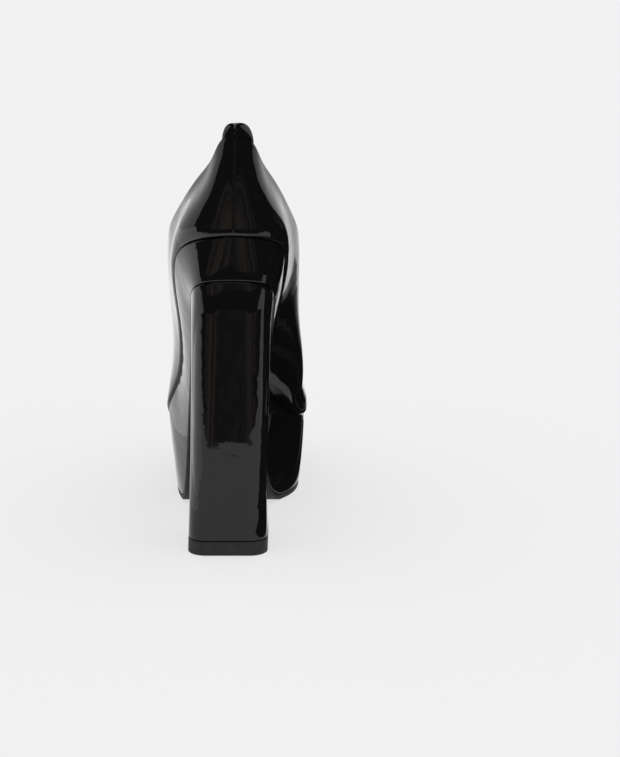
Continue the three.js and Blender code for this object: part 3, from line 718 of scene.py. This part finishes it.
def heel_outline(z, inset, per_side=10):
    """Level outline of the heel at heights z, one row of points per height: rounded corners."""
    share = z / SEAT_BACK
    columns = [profile([(row[0], row[i]) for row in HEEL_SHAPE], share) for i in (1, 2, 3, 4, 5)]
    middle, rear, wider, deeper, rounder = columns
    width = HEEL_WIDTH + wider - 2 * inset
    depth = HEEL_DEPTH + deeper - 2 * inset
    back = rear + SHAPE_BACK - HEEL_DEPTH / 2 + inset
    points = []
    soft = HEEL_CORNER + rounder
    corners = [(1, 0, soft), (1, 1, BREAST_CORNER), (-1, 1, BREAST_CORNER), (-1, 0, soft)]
    ends = []
    for index, (side, front, rounding) in enumerate(corners):
        radius = np.maximum(rounding - inset, 1)
        x = middle + side * (width / 2 - radius)
        y = back + depth - radius if front else back + radius
        arc = []
        for i in range(13):
            angle = (index - 1 + i / 12) * math.pi / 2
            across, along = radius * math.cos(angle), radius * math.sin(angle)
            arc.append(np.stack([x + across, y + along, z], -1))
        ends.append(arc)
    for index, arc in enumerate(ends):
        points += arc
        following = ends[(index + 1) % 4][0]
        points += [arc[-1] + (following - arc[-1]) * (i / per_side) for i in range(1, per_side)]
    return under_unit(np.stack(points, 0), share, inset)


# Reach of the sole unit's bottom edge from the middle of the heel seat, by direction.
UNIT_REACH = unit_plan(np.linspace(0, RING, 560, endpoint=False))[:, :2] - SEAT_MIDDLE
UNIT_WAY = np.arctan2(UNIT_REACH[:, 1], UNIT_REACH[:, 0])
UNIT_ORDER = np.argsort(UNIT_WAY)


def under_unit(points, share, inset):
    """Draws the heel's outline in near its top, so that it keeps under the sole unit's edge."""
    arms = points[..., :2] - SEAT_MIDDLE
    length = np.linalg.norm(arms, axis=-1)
    way = np.arctan2(arms[..., 1], arms[..., 0])
    reach = np.linalg.norm(UNIT_REACH, axis=-1)[UNIT_ORDER]
    most = np.interp(way, UNIT_WAY[UNIT_ORDER], reach, period=2 * math.pi) - inset
    excess = np.maximum(length - most, 0) * smooth(share, *SEAT_FIT)
    points[..., :2] -= arms / length[..., None] * excess[..., None]
    return points


HEEL_ROWS = 34
HEIGHT_ROUNDS = 7  # rounds in which the height of a point and its place settle
HEEL_MARGIN = 3  # how far the cover turns in over the ends of the block
HEEL_LEATHER = 1
BREAST_STRIP = 4.5  # depth of the strip that covers the breast


def heel_face(inset, share, top_gap):
    """Points round the heel at a share of the way from the top lift to the sole unit."""
    low = TOP_LIFT + GAP
    count = heel_outline(np.full(1, low), inset).shape[0]
    each = np.arange(count)
    z = np.full(count, low + (SEAT_BACK - low) * share)
    for settling in range(HEIGHT_ROUNDS):
        at = heel_outline(z, inset)[each, each]
        z = low + (unit_bottom(at[:, 1]) - top_gap - low) * share
    at[:, 2] = z
    return at


def build_heel(patent):
    """Cover of the heel block, and the strip over its breast, cut from the same shell."""
    seat_gap = GAP + 0.05
    top_edge = heel_face(0, 1, seat_gap)
    top_in = heel_face(HEEL_MARGIN, 1, seat_gap)
    low_edge = heel_face(0, 0, seat_gap)
    low_in = heel_face(HEEL_MARGIN, 0, seat_gap)
    near_top = heel_face(0, 0.97, seat_gap)
    near_low = heel_face(0, 0.03, seat_gap)
    upper_round = rounded(top_in, top_edge, near_top, 1.4, 8)
    lower_round = rounded(near_low, low_edge, low_in, 0.7, 6)
    points = [top_in] + upper_round
    for i in range(1, HEEL_ROWS):
        share = 0.985 + (0.01 - 0.985) * i / HEEL_ROWS
        points.append(heel_face(0, share, seat_gap))
    points += lower_round + [low_in]
    for inset in (HEEL_MARGIN, HEEL_LEATHER):
        points.append(heel_face(inset, 0, seat_gap) + np.array([0, 0, HEEL_LEATHER]))
    for inset in (HEEL_LEATHER, HEEL_MARGIN):
        points.append(heel_face(inset, 1, seat_gap + HEEL_LEATHER))
    face = HEEL_DEPTH / 2 - BREAST_STRIP
    cover = mesh_piece("Heel_cover", points, True)
    cut(cover, face, False)
    take(cover, "heel_cover", slot="patent_leather", material=patent)
    breast = mesh_piece("Heel_breast_cover", points, True)
    cut(breast, face + GAP, True)
    take(breast, "heel_breast_cover", slot="patent_leather", material=patent)


def build_top_lift(rubber):
    """Wearing plate under the heel, with softened edges."""

    def edge(z, inset=0.0):
        return heel_outline(np.full(1, z), inset)[:, 0]

    def plate(z, share):
        rim = edge(z)
        middle = rim.mean(0)
        return middle + (rim - middle) * share

    low, high = 0.0, TOP_LIFT
    points = [plate(low, share) for share in (0.0, 0.25, 0.5, 0.75, 0.94)]
    points += rounded(plate(low, 0.94), edge(low), edge(high), 0.5, 6)
    points += [edge(low + (high - low) * t) for t in (0.2, 0.4, 0.6, 0.8)]
    points += rounded(edge(low), edge(high), plate(high, 0.94), 0.4, 6)
    points += [plate(high, share) for share in (0.94, 0.75, 0.5, 0.25, 0.0)]
    piece = mesh_piece("Top_lift", points, True, lambda column, row: row > len(points) - 1)
    return take(piece, "top_lift", slot="top_lift_rubber", material=rubber)


# ---------------------------------------------------------------- inside
GLUE = 0.4
INSOLE_BOARD = 2.5
LINING_TO = LINING_FROM + LINING
BOARD_TO = LINING_TO + GLUE + INSOLE_BOARD
CUSHION = 2.2
SOCK = 0.9
HEEL_PAD_TO = 12  # front end of the heel pad
BALL_PAD = (72, 150)  # ends of the pad under the ball
PAD_CLEAR = 1.5


def lean_in(s, height):
    """How far the upper's face leans in over the feather line, up to a height above it."""
    low = on_height(feather_plan(s), feather_height)
    inward = -outward(feather_plan, s)
    most = np.zeros_like(s)
    for v in np.linspace(0.02, 1, 50):
        at = upper_face(s, v) - low
        most = np.where(at[:, 2] < height, np.maximum(most, np.sum(at * inward, -1)), most)
    return most * (1 - smooth(station(s), THROAT, THROAT + 2))


def bed_piece(name, low, high, clear, radius):
    """Sheet over the foot bed between two heights, stopping short of the toe."""
    s = round_stations(6)
    lean = lean_in(s, high)[:, None]
    reach = 1 - smooth(station(s), THROAT - 1, TIP) * high / END_REACH
    reach = reach[:, None]

    def at(height, w):
        return sheet_point(feather_plan, feather_height, s, w * reach, clear + lean, height)

    levels = [0.0, 0.2, 0.4, 0.6, 0.8, 0.92]
    points = [at(low, w) for w in levels]
    points += rounded(at(low, 0.92), at(low, 1), at(high, 1), radius * 0.6, 4)
    points += rounded(at(low, 1), at(high, 1), at(high, 0.92), radius, 6)
    points += [at(high, w) for w in reversed(levels)]
    return mesh_piece(name, points, True, lambda column, row: row > len(points) - 1)


def build_inside(leather, foam):
    """Foam pads on the insole board, and the sock liner over them."""
    pad_from = BOARD_TO + GAP
    sock_from = pad_from + CUSHION + GAP
    clear = LINING_TO + GLUE
    heel_pad = bed_piece("Heel_pad", pad_from, pad_from + CUSHION, clear + PAD_CLEAR, 0.9)
    cut(heel_pad, HEEL_PAD_TO, False)
    take(heel_pad, "heel_pad", slot="foam", material=foam)
    ball_pad = bed_piece("Forefoot_pad", pad_from, pad_from + CUSHION, clear + PAD_CLEAR, 0.9)
    cut(ball_pad, BALL_PAD[0], True)
    cut(ball_pad, BALL_PAD[1], False)
    take(ball_pad, "forefoot_pad", slot="foam", material=foam)
    sock = bed_piece("Sock_liner", sock_from, sock_from + SOCK, clear + 1, 0.45)
    return take(sock, "sock_liner", slot="lining_leather", material=leather)


# ---------------------------------------------------------------- finishes
class Finish:
    """A procedural material, built node by node around one principled surface."""

    def __init__(self, name, color, roughness, metallic=0.0):
        self.material = bpy.data.materials.new(name)
        self.material.use_nodes = True
        self.material.diffuse_color = (*color, 1)
        self.tree = self.material.node_tree
        self.surface = self.tree.nodes["Principled BSDF"]
        self.surface.inputs["Base Color"].default_value = (*color, 1)
        self.surface.inputs["Roughness"].default_value = roughness
        self.surface.inputs["Metallic"].default_value = metallic
        self.color = color
        self.place = self.add("ShaderNodeTexCoord").outputs["Object"]
        self.bump = None

    def add(self, kind, settings=None, **inputs):
        """New node. An input is a value or a socket to link from."""
        node = self.tree.nodes.new(kind)
        for key, value in (settings or {}).items():
            setattr(node, key, value)
        for key, value in inputs.items():
            socket = node.inputs[key.replace("_", " ")]
            if isinstance(value, bpy.types.NodeSocket):
                self.tree.links.new(value, socket)
            else:
                socket.default_value = value
        return node

    def noise(self, scale, detail=2.0, roughness=0.5, stretch=None):
        """Noise with this many features a metre, drawn out along an axis by stretch."""
        place = self.place
        if stretch is not None:
            place = self.add("ShaderNodeMapping", Vector=place, Scale=stretch).outputs[0]
        inputs = {"Scale": scale, "Detail": detail, "Roughness": roughness}
        return self.add("ShaderNodeTexNoise", Vector=place, **inputs).outputs["Fac"]

    def cells(self, scale, feature="F1"):
        """Distance to the nearest of this many cells a metre."""
        kind = {"feature": feature}
        made = self.add("ShaderNodeTexVoronoi", kind, Vector=self.place, Scale=scale)
        return made.outputs["Distance"]

    def ramp(self, value, stops):
        """Colour by a value, through stops of position and colour or grey."""
        node = self.add("ShaderNodeValToRGB", Fac=value)
        elements = node.color_ramp.elements
        while len(elements) < len(stops):
            elements.new(0.5)
        for element, (at, color) in zip(elements, stops):
            element.position = at
            element.color = (*color, 1) if isinstance(color, tuple) else (color, color, color, 1)
        return node.outputs["Color"]

    def relief(self, height, distance, strength=1.0):
        """Lays one more relief, this many metres deep, over what is there."""
        inputs = {"Height": height, "Distance": distance, "Strength": strength}
        if self.bump is not None:
            inputs["Normal"] = self.bump
        self.bump = self.add("ShaderNodeBump", **inputs).outputs[0]
        self.tree.links.new(self.bump, self.surface.inputs["Normal"])
        self.tree.links.new(self.bump, self.surface.inputs["Coat Normal"])

    def tint(self, value, low, high):
        """Colour between two, by a value."""
        color = self.ramp(value, [(0.3, low), (0.7, high)])
        self.tree.links.new(color, self.surface.inputs["Base Color"])

    def polish(self, value, low, high):
        """Roughness between two, by a value."""
        amount = self.add("ShaderNodeMapRange", Value=value, To_Min=low, To_Max=high).outputs[0]
        self.tree.links.new(amount, self.surface.inputs["Roughness"])

    def set(self, **inputs):
        """Constant inputs of the surface."""
        for key, value in inputs.items():
            self.surface.inputs[key.replace("_", " ")].default_value = value


def patent_leather(look):
    """Lacquered leather: a deep gloss over slow ripples, with a fine orange-peel."""
    made = Finish("Patent_leather", tuple(look.leather_color), look.gloss_roughness)
    made.set(Coat_Weight=0.08, Coat_Roughness=0.02, Coat_IOR=1.5, Specular_IOR_Level=0.38)
    made.relief(made.noise(70, 1.0), look.ripple * MM, 1.0)
    made.relief(made.noise(170, 3.0), look.ripple * MM * 0.14, 1.0)
    made.relief(made.noise(700, 2.0), look.ripple * MM * 0.02, 1.0)
    made.polish(made.noise(900, 3.0), look.gloss_roughness * 0.8, look.gloss_roughness * 1.4)
    return made.material


def grained_leather(name, color, look):
    """Soft leather with a pebbled grain, pores and a slightly uneven dye."""
    made = Finish(name, color, 0.55)
    made.set(Specular_IOR_Level=0.4, Sheen_Weight=0.08, Sheen_Roughness=0.5)
    dark = tuple(c * 0.8 for c in color)
    light = tuple(min(c * 1.1, 1) for c in color)
    made.tint(made.noise(60, 4.0), dark, light)
    made.relief(made.cells(1500, "SMOOTH_F1"), look.grain * MM, 0.7)
    made.relief(made.noise(5000, 2.0), look.grain * MM * 0.4, 0.5)
    made.polish(made.noise(300, 3.0), 0.45, 0.65)
    return made.material


def rubber(name, color):
    """Matt moulded rubber with a fine sanded face and pale scuffs."""
    made = Finish(name, color, 0.62)
    made.set(Specular_IOR_Level=0.4)
    dark = tuple(c * 0.75 for c in color)
    light = tuple(c * 1.25 for c in color)
    made.tint(made.noise(220, 5.0), dark, light)
    made.relief(made.noise(3800, 3.0), 0.05 * MM, 0.8)
    made.polish(made.noise(500, 3.0), 0.5, 0.75)
    return made.material


def plain_inner(name, color, roughness, scale, depth, metallic=0.0):
    """Finish of a hidden piece: uneven colour over a fine relief."""
    made = Finish(name, color, roughness, metallic)
    dark = tuple(c * 0.82 for c in color)
    light = tuple(min(c * 1.12, 1) for c in color)
    made.tint(made.noise(scale * 0.4, 3.0), dark, light)
    made.relief(made.noise(scale, 3.0), depth * MM, 0.6)
    made.polish(made.noise(scale * 0.7, 2.0), roughness * 0.85, min(roughness * 1.15, 1))
    return made.material


def brushed_steel():
    """Rolled steel with fine lines along the strip."""
    made = Finish("Steel", (0.56, 0.57, 0.58), 0.3, 1.0)
    made.relief(made.noise(900, 2.0, stretch=(1, 0.05, 1)), 0.02 * MM, 0.5)
    made.polish(made.noise(400, 3.0), 0.22, 0.42)
    return made.material


INNER_FINISHES = {
    "stiffener": (("heel_counter", "toe_puff"), (0.72, 0.68, 0.6), 0.6, 700, 0.05),
    "fibre_board": (("insole_board",), (0.27, 0.15, 0.07), 0.85, 1600, 0.12),
    "cork": (("sole_core", "forefoot_filler"), (0.44, 0.26, 0.11), 0.9, 500, 0.35),
    "heel_plastic": (("heel_core",), (0.78, 0.76, 0.72), 0.45, 900, 0.03),
}


def finish_frame():
    """Gives the pieces of the frame that stay inside their own finishes."""
    for slot, (nodes, color, roughness, scale, depth) in INNER_FINISHES.items():
        material = plain_inner(slot.capitalize(), color, roughness, scale, depth)
        for node in nodes:
            piece = frame["nodes"][node]
            piece.data.materials.clear()
            piece.data.materials.append(material)
    steel = brushed_steel()
    for node, piece in frame["nodes"].items():
        if node.startswith(("steel_", "shank_", "heel_nail", "heel_screw", "top_lift_pin")):
            piece.data.materials.clear()
            piece.data.materials.append(steel)


TAPE_DROPS = (8.5, 7, 5.5, 4.5)  # rows of the tape, below the topline
TAPE_THICK = 0.9
TAPE_TO = THROAT - 0.5  # station where it ends, short of the throat


def build_tape(material):
    """Reinforcing tape that lies under the folded edge at the topline."""
    s = np.linspace(-TAPE_TO, TAPE_TO, 8 * 19 + 1)
    depth = UPPER_LEATHER + GLUE

    def at(below, inside):
        speed = np.linalg.norm(upper_face(s, 1.0) - upper_face(s, 0.98), axis=-1) / 0.02
        v = 1 - below / speed
        return upper_face(s, v) - upper_normal(s, v) * inside

    points = [at(drop, depth) for drop in TAPE_DROPS]
    points += [at(drop, depth + TAPE_THICK) for drop in reversed(TAPE_DROPS)]
    piece = mesh_piece("Topline_tape", points, False)
    return take(piece, "topline_tape", slot="tape", material=material)


# ---------------------------------------------------------------- studio
def emission(name, color, strength):
    """Material that only glows."""
    made = bpy.data.materials.new(name)
    made.use_nodes = True
    tree = made.node_tree
    tree.nodes.clear()
    glow = tree.nodes.new("ShaderNodeEmission")
    glow.inputs["Color"].default_value = (*color, 1)
    glow.inputs["Strength"].default_value = strength
    output = tree.nodes.new("ShaderNodeOutputMaterial")
    tree.links.new(glow.outputs[0], output.inputs["Surface"])
    return made


def card(name, centre, normal, width, height, material, diffuse=False, camera=False):
    """Flat panel of the studio, seen only in reflections unless told otherwise."""
    mesh = bpy.data.meshes.new(name)
    bm = bmesh.new()
    bmesh.ops.create_grid(bm, x_segments=1, y_segments=1, size=0.5)
    bmesh.ops.scale(bm, vec=(width, height, 1), verts=bm.verts)
    turn = Vector(normal).to_track_quat("Z", "Y").to_matrix()
    bmesh.ops.rotate(bm, matrix=turn, verts=bm.verts)
    bmesh.ops.translate(bm, vec=centre, verts=bm.verts)
    bm.to_mesh(mesh)
    bm.free()
    panel = bpy.data.objects.new(name, mesh)
    bpy.context.scene.collection.objects.link(panel)
    mesh.materials.append(material)
    panel.visible_diffuse = diffuse
    panel.visible_camera = camera
    panel.visible_shadow = diffuse
    panel.visible_transmission = False
    return panel


def streaky(name, strength):
    """Dim room with upright streaks, as seen in the gloss."""
    made = emission(name, (0.5, 0.42, 0.36), strength)
    tree = made.node_tree
    place = tree.nodes.new("ShaderNodeTexCoord")
    stretch = tree.nodes.new("ShaderNodeMapping")
    stretch.inputs["Scale"].default_value = (3, 1, 0.2)
    noise = tree.nodes.new("ShaderNodeTexNoise")
    noise.inputs["Scale"].default_value = 1.0
    noise.inputs["Detail"].default_value = 1.5
    ramp = tree.nodes.new("ShaderNodeValToRGB")
    for element, (at, color) in zip(
        ramp.color_ramp.elements, ((0.35, (0.08, 0.08, 0.08, 1)), (0.85, (0.7, 0.54, 0.4, 1)))
    ):
        element.position = at
        element.color = color
    tree.links.new(place.outputs["Object"], stretch.inputs["Vector"])
    tree.links.new(stretch.outputs[0], noise.inputs["Vector"])
    tree.links.new(noise.outputs["Fac"], ramp.inputs["Fac"])
    tree.links.new(ramp.outputs["Color"], tree.nodes["Emission"].inputs["Color"])
    return made


def paper(name, tone, own_light):
    """Paper that gives back a tone. A share of it is its own light, which keeps shadows pale."""
    made = bpy.data.materials.new(name)
    made.use_nodes = True
    surface = made.node_tree.nodes["Principled BSDF"]
    surface.inputs["Base Color"].default_value = (*[tone * (1 - own_light)] * 3, 1)
    surface.inputs["Emission Color"].default_value = (1, 1, 1, 1)
    surface.inputs["Emission Strength"].default_value = tone * own_light
    surface.inputs["Roughness"].default_value = 1.0
    surface.inputs["Specular IOR Level"].default_value = 0.0
    return made


NEIGHBOUR_PARTS = ("Upper", "Sole_unit_cover", "Heel_cover", "Back_tab", "Top_lift")


def build_neighbour(gap):
    """Mirror image of the shoe on its inner side, seen only in its gloss."""
    objects = bpy.context.scene.objects
    missing = [name for name in NEIGHBOUR_PARTS if name not in objects]
    if missing:
        raise RuntimeError("Build the shoe before the studio. Missing: " + ", ".join(missing))
    middle = max(v.co.x for v in objects["Upper"].data.vertices) + gap / 2
    for name in NEIGHBOUR_PARTS:
        source = objects[name]
        bm = bmesh.new()
        bm.from_mesh(source.data)
        for vert in bm.verts:
            vert.co.x = 2 * middle - vert.co.x
        bmesh.ops.reverse_faces(bm, faces=bm.faces)
        mesh = bpy.data.meshes.new("Neighbour_" + name)
        bm.to_mesh(mesh)
        bm.free()
        mesh.materials.append(source.data.materials[0])
        twin = bpy.data.objects.new(mesh.name, mesh)
        bpy.context.scene.collection.objects.link(twin)
        twin.visible_camera = False
        twin.visible_diffuse = False
        twin.visible_shadow = False


FLOOR_LEVEL = -0.0002
FLOOR_OWN_LIGHT = 0.7
FLOOR_HALF = 0.42  # half the width of the floor that shows in the gloss beside the shoe
FLOOR_FRONT = 0.06
FLOOR_WIDE = 3


def build_floor(look):
    """Floor in panels. Some of them show in the gloss and some only to the camera."""
    white = paper("Floor_paper", look.floor_tone, FLOOR_OWN_LIGHT)
    edge = look.floor_edge
    wide, half, front = FLOOR_WIDE, FLOOR_HALF, FLOOR_FRONT
    spans = (
        ("Floor_near", -half, half, -edge, front, True),
        ("Floor_left", -wide, -half, -edge, front, False),
        ("Floor_right", half, wide, -edge, front, False),
        ("Floor_ahead", -wide, wide, front, 2 * wide, True),
        ("Floor_behind", -wide, wide, -wide, -edge, False),
    )
    for name, left, right, near, far, glossy in spans:
        centre = ((left + right) / 2, (near + far) / 2, FLOOR_LEVEL)
        panel = card(name, centre, (0, 0, 1), right - left, far - near, white, True, True)
        panel.visible_glossy = glossy
        panel.visible_shadow = True


def build_lights(look):
    """Glowing walls and softbox, and what darkens the gloss."""
    glow = emission("Wall_glow", (1, 1, 1), look.wall_glow)
    card("Wall_left", (-1.5, 2.06, 0.8), (1, 0, 0), 4.0, 1.6, glow)
    card("Wall_right", (1.5, 2.06, 0.8), (-1, 0, 0), 4.0, 1.6, glow)
    card("Wall_ahead", (0, 4, 0.8), (0, -1, 0), 3.0, 1.6, glow)
    above = emission("Softbox", (1, 1, 1), look.softbox)
    card("Softbox_above", (0, 0.3, 1.7), (0, 0, -1), 1.4, 2.6, above)
    bright = emission("Side_glow", (1, 1, 1), look.side_glow)
    card("Glow_outer", (-0.8, 0.69, 0.0006), (0, 0, 1), 1.4, 1.62, bright)
    shade = emission("Pair_shade", (0.012, 0.012, 0.012), 1.0)
    card("Shade_inner", (0.115, 0.08, 0.0006), (0, 0, 1), 0.15, 0.26, shade)
    streaks = streaky("Room_streaks", look.streaks)
    card("Room_behind", (0, -2.6, 0.2), (0, 1, 0), 5.0, 2.6, streaks)


def build_world(look):
    """Even light all round, dim in the gloss and plain behind the shoe."""
    world = bpy.data.worlds.new("Studio")
    bpy.context.scene.world = world
    world.use_nodes = True
    tree = world.node_tree
    tree.nodes.clear()
    lit = tree.nodes.new("ShaderNodeBackground")
    lit.inputs["Color"].default_value = (1, 1, 1, 1)
    lit.inputs["Strength"].default_value = look.room_light
    dim = tree.nodes.new("ShaderNodeBackground")
    dim.inputs["Color"].default_value = (1.0, 0.92, 0.84, 1)
    dim.inputs["Strength"].default_value = 0.012
    path = tree.nodes.new("ShaderNodeLightPath")
    plain = tree.nodes.new("ShaderNodeBackground")
    plain.inputs["Color"].default_value = (look.floor_tone,) * 3 + (1,)
    mix = tree.nodes.new("ShaderNodeMixShader")
    seen = tree.nodes.new("ShaderNodeMixShader")
    output = tree.nodes.new("ShaderNodeOutputWorld")
    tree.links.new(path.outputs["Is Glossy Ray"], mix.inputs["Fac"])
    tree.links.new(lit.outputs[0], mix.inputs[1])
    tree.links.new(dim.outputs[0], mix.inputs[2])
    tree.links.new(path.outputs["Is Camera Ray"], seen.inputs["Fac"])
    tree.links.new(mix.outputs[0], seen.inputs[1])
    tree.links.new(plain.outputs[0], seen.inputs[2])
    tree.links.new(seen.outputs[0], output.inputs["Surface"])


def build_camera(look):
    """Camera low behind the shoe, with a long lens."""
    camera = bpy.data.cameras.new("Camera")
    camera.sensor_width = 36.0
    camera.lens = look.lens
    camera.clip_end = 20
    eye = bpy.data.objects.new("Camera", camera)
    bpy.context.scene.collection.objects.link(eye)
    eye.location = look.camera_place
    tilt = math.radians(look.camera_tilt)
    eye.rotation_euler = (math.pi / 2 - tilt, 0, 0)
    bpy.context.scene.camera = eye


def build_stage(look):
    """The whole studio. The shoe is built first, since its mirror image stands beside it."""
    build_floor(look)
    build_lights(look)
    build_neighbour(look.neighbour_gap)
    build_world(look)
    build_camera(look)
    bpy.context.scene.view_settings.view_transform = "Standard"


# ---------------------------------------------------------------- settings, operators and panel
class PumpLook(bpy.types.PropertyGroup):
    """Colours and gloss of the shoe"""

    leather_color: FloatVectorProperty(
        name="Leather colour", description="Colour under the lacquer", subtype="COLOR",
        size=3, min=0, max=1, default=(0.004, 0.004, 0.0045),
    )
    gloss_roughness: FloatProperty(
        name="Gloss roughness", description="Roughness of the lacquer", default=0.045, min=0, max=1,
    )
    ripple: FloatProperty(
        name="Ripple", description="Depth of the slow waves in the leather, in millimetres",
        default=0.4, min=0, max=2,
    )
    lining_color: FloatVectorProperty(
        name="Lining colour", description="Dye of the lining and sock leather", subtype="COLOR",
        size=3, min=0, max=1, default=(0.55, 0.37, 0.22),
    )
    grain: FloatProperty(
        name="Grain", description="Depth of the lining's grain, in millimetres",
        default=0.12, min=0, max=1,
    )
    rubber_color: FloatVectorProperty(
        name="Rubber colour", description="Colour of the sole and top lift", subtype="COLOR",
        size=3, min=0, max=1, default=(0.014, 0.014, 0.014),
    )


class PumpStage(bpy.types.PropertyGroup):
    """Floor, lights and camera"""

    floor_tone: FloatProperty(
        name="Floor tone", description="Share of light the floor gives back",
        default=0.885, min=0, max=1,
    )
    floor_edge: FloatProperty(
        name="Floor edge",
        description="Where the floor that shows in the gloss ends behind the heel",
        default=0.165, min=0, max=3, unit="LENGTH",
    )
    room_light: FloatProperty(
        name="Room light", description="Even light all round", default=1.0, min=0, max=10,
    )
    softbox: FloatProperty(
        name="Softbox", description="Brightness of the softbox", default=1.5, min=0, max=50,
    )
    wall_glow: FloatProperty(
        name="Wall glow", description="Brightness of the white walls ahead",
        default=0.85, min=0, max=50,
    )
    neighbour_gap: FloatProperty(
        name="Neighbour gap",
        description="Gap to the other shoe of the pair, which shows in the gloss",
        default=0.003, min=0, max=1, unit="LENGTH",
    )
    streaks: FloatProperty(
        name="Streaks", description="Brightness of the dim room behind the camera",
        default=0.55, min=0, max=50,
    )
    side_glow: FloatProperty(
        name="Side glow", description="Brightness of the glow on the outer side",
        default=1.25, min=0, max=50,
    )
    lens: FloatProperty(
        name="Lens", description="Focal length in millimetres", default=161.7, min=10, max=500,
    )
    camera_place: FloatVectorProperty(
        name="Camera place", description="Where the camera stands",
        subtype="TRANSLATION", unit="LENGTH", size=3, default=(0.04125, -1.63068, 0.55390),
    )
    camera_tilt: FloatProperty(
        name="Camera tilt", description="How far the camera looks down, in degrees",
        default=16.0, min=-90, max=90,
    )


def shared(name, make):
    """A finish that several pieces use, made once."""
    return bpy.data.materials.get(name) or make()


def patent():
    """The lacquered leather, by the panel's settings."""
    return shared("Patent_leather", lambda: patent_leather(bpy.context.scene.pump_look))


def lining_leather():
    """The lining leather, by the panel's settings."""
    name = "Lining_leather"
    look = bpy.context.scene.pump_look
    return shared(name, lambda: grained_leather(name, tuple(look.lining_color), look))


class PUMP_OT_upper(bpy.types.Operator):
    """Build the patent upper with its seam and folded edge"""

    bl_idname = "pump.upper"
    bl_label = "Upper"

    def execute(self, context):
        build_upper(patent())
        return {"FINISHED"}


class PUMP_OT_tab(bpy.types.Operator):
    """Build the tab over the back seam"""

    bl_idname = "pump.tab"
    bl_label = "Back tab"

    def execute(self, context):
        build_tab(patent())
        return {"FINISHED"}


class PUMP_OT_linings(bpy.types.Operator):
    """Build the linings and the tape at the topline"""

    bl_idname = "pump.linings"
    bl_label = "Linings and tape"

    def execute(self, context):
        tape = plain_inner("Tape", (0.75, 0.74, 0.7), 0.8, 2200, 0.08)
        build_tape(tape)
        build_linings(lining_leather())
        return {"FINISHED"}


class PUMP_OT_inside(bpy.types.Operator):
    """Build the sock liner and the foam pads under it"""

    bl_idname = "pump.inside"
    bl_label = "Sock and pads"

    def execute(self, context):
        foam = plain_inner("Foam", (0.8, 0.77, 0.7), 0.95, 2600, 0.25)
        build_inside(lining_leather(), foam)
        return {"FINISHED"}


class PUMP_OT_sole(bpy.types.Operator):
    """Build the cover of the sole unit and the outsole"""

    bl_idname = "pump.sole"
    bl_label = "Sole"

    def execute(self, context):
        build_sole_cover(patent())
        build_outsole(rubber("Sole_rubber", tuple(context.scene.pump_look.rubber_color)))
        return {"FINISHED"}


class PUMP_OT_heel(bpy.types.Operator):
    """Build the covers of the heel block and its top lift"""

    bl_idname = "pump.heel"
    bl_label = "Heel"

    def execute(self, context):
        build_heel(patent())
        build_top_lift(rubber("Top_lift_rubber", tuple(context.scene.pump_look.rubber_color)))
        return {"FINISHED"}


class PUMP_OT_frame(bpy.types.Operator):
    """Finish the pieces of the frame that stay inside"""

    bl_idname = "pump.frame"
    bl_label = "Inner pieces"

    def execute(self, context):
        finish_frame()
        return {"FINISHED"}


class PUMP_OT_stage(bpy.types.Operator):
    """Set the floor, the lights and the camera"""

    bl_idname = "pump.stage"
    bl_label = "Studio"

    def execute(self, context):
        build_stage(context.scene.pump_stage)
        return {"FINISHED"}


OPERATORS = (
    PUMP_OT_upper, PUMP_OT_tab, PUMP_OT_linings, PUMP_OT_inside, PUMP_OT_sole, PUMP_OT_heel,
    PUMP_OT_frame, PUMP_OT_stage,
)


class PUMP_PT_panel(bpy.types.Panel):
    """Lists the steps that build the shoe"""

    bl_idname = "PUMP_PT_panel"
    bl_label = "Platform Pump"
    bl_space_type = "VIEW_3D"
    bl_region_type = "UI"
    bl_category = "Pump"

    def draw(self, context):
        for settings in (context.scene.pump_look, context.scene.pump_stage):
            box = self.layout.box()
            for name in settings.__annotations__:
                box.prop(settings, name)
        for step in OPERATORS:
            self.layout.operator(step.bl_idname)


CLASSES = (PumpLook, PumpStage, *OPERATORS, PUMP_PT_panel)


def register():
    for made in CLASSES:
        bpy.utils.register_class(made)
    bpy.types.Scene.pump_look = PointerProperty(type=PumpLook)
    bpy.types.Scene.pump_stage = PointerProperty(type=PumpStage)


def unregister():
    del bpy.types.Scene.pump_stage
    del bpy.types.Scene.pump_look
    for made in reversed(CLASSES):
        bpy.utils.unregister_class(made)


def main():
    register()
    bpy.ops.pump.upper()
    bpy.ops.pump.tab()
    bpy.ops.pump.linings()
    bpy.ops.pump.inside()
    bpy.ops.pump.sole()
    bpy.ops.pump.heel()
    bpy.ops.pump.frame()
    bpy.ops.pump.stage()


if __name__ == "__main__":
    main()
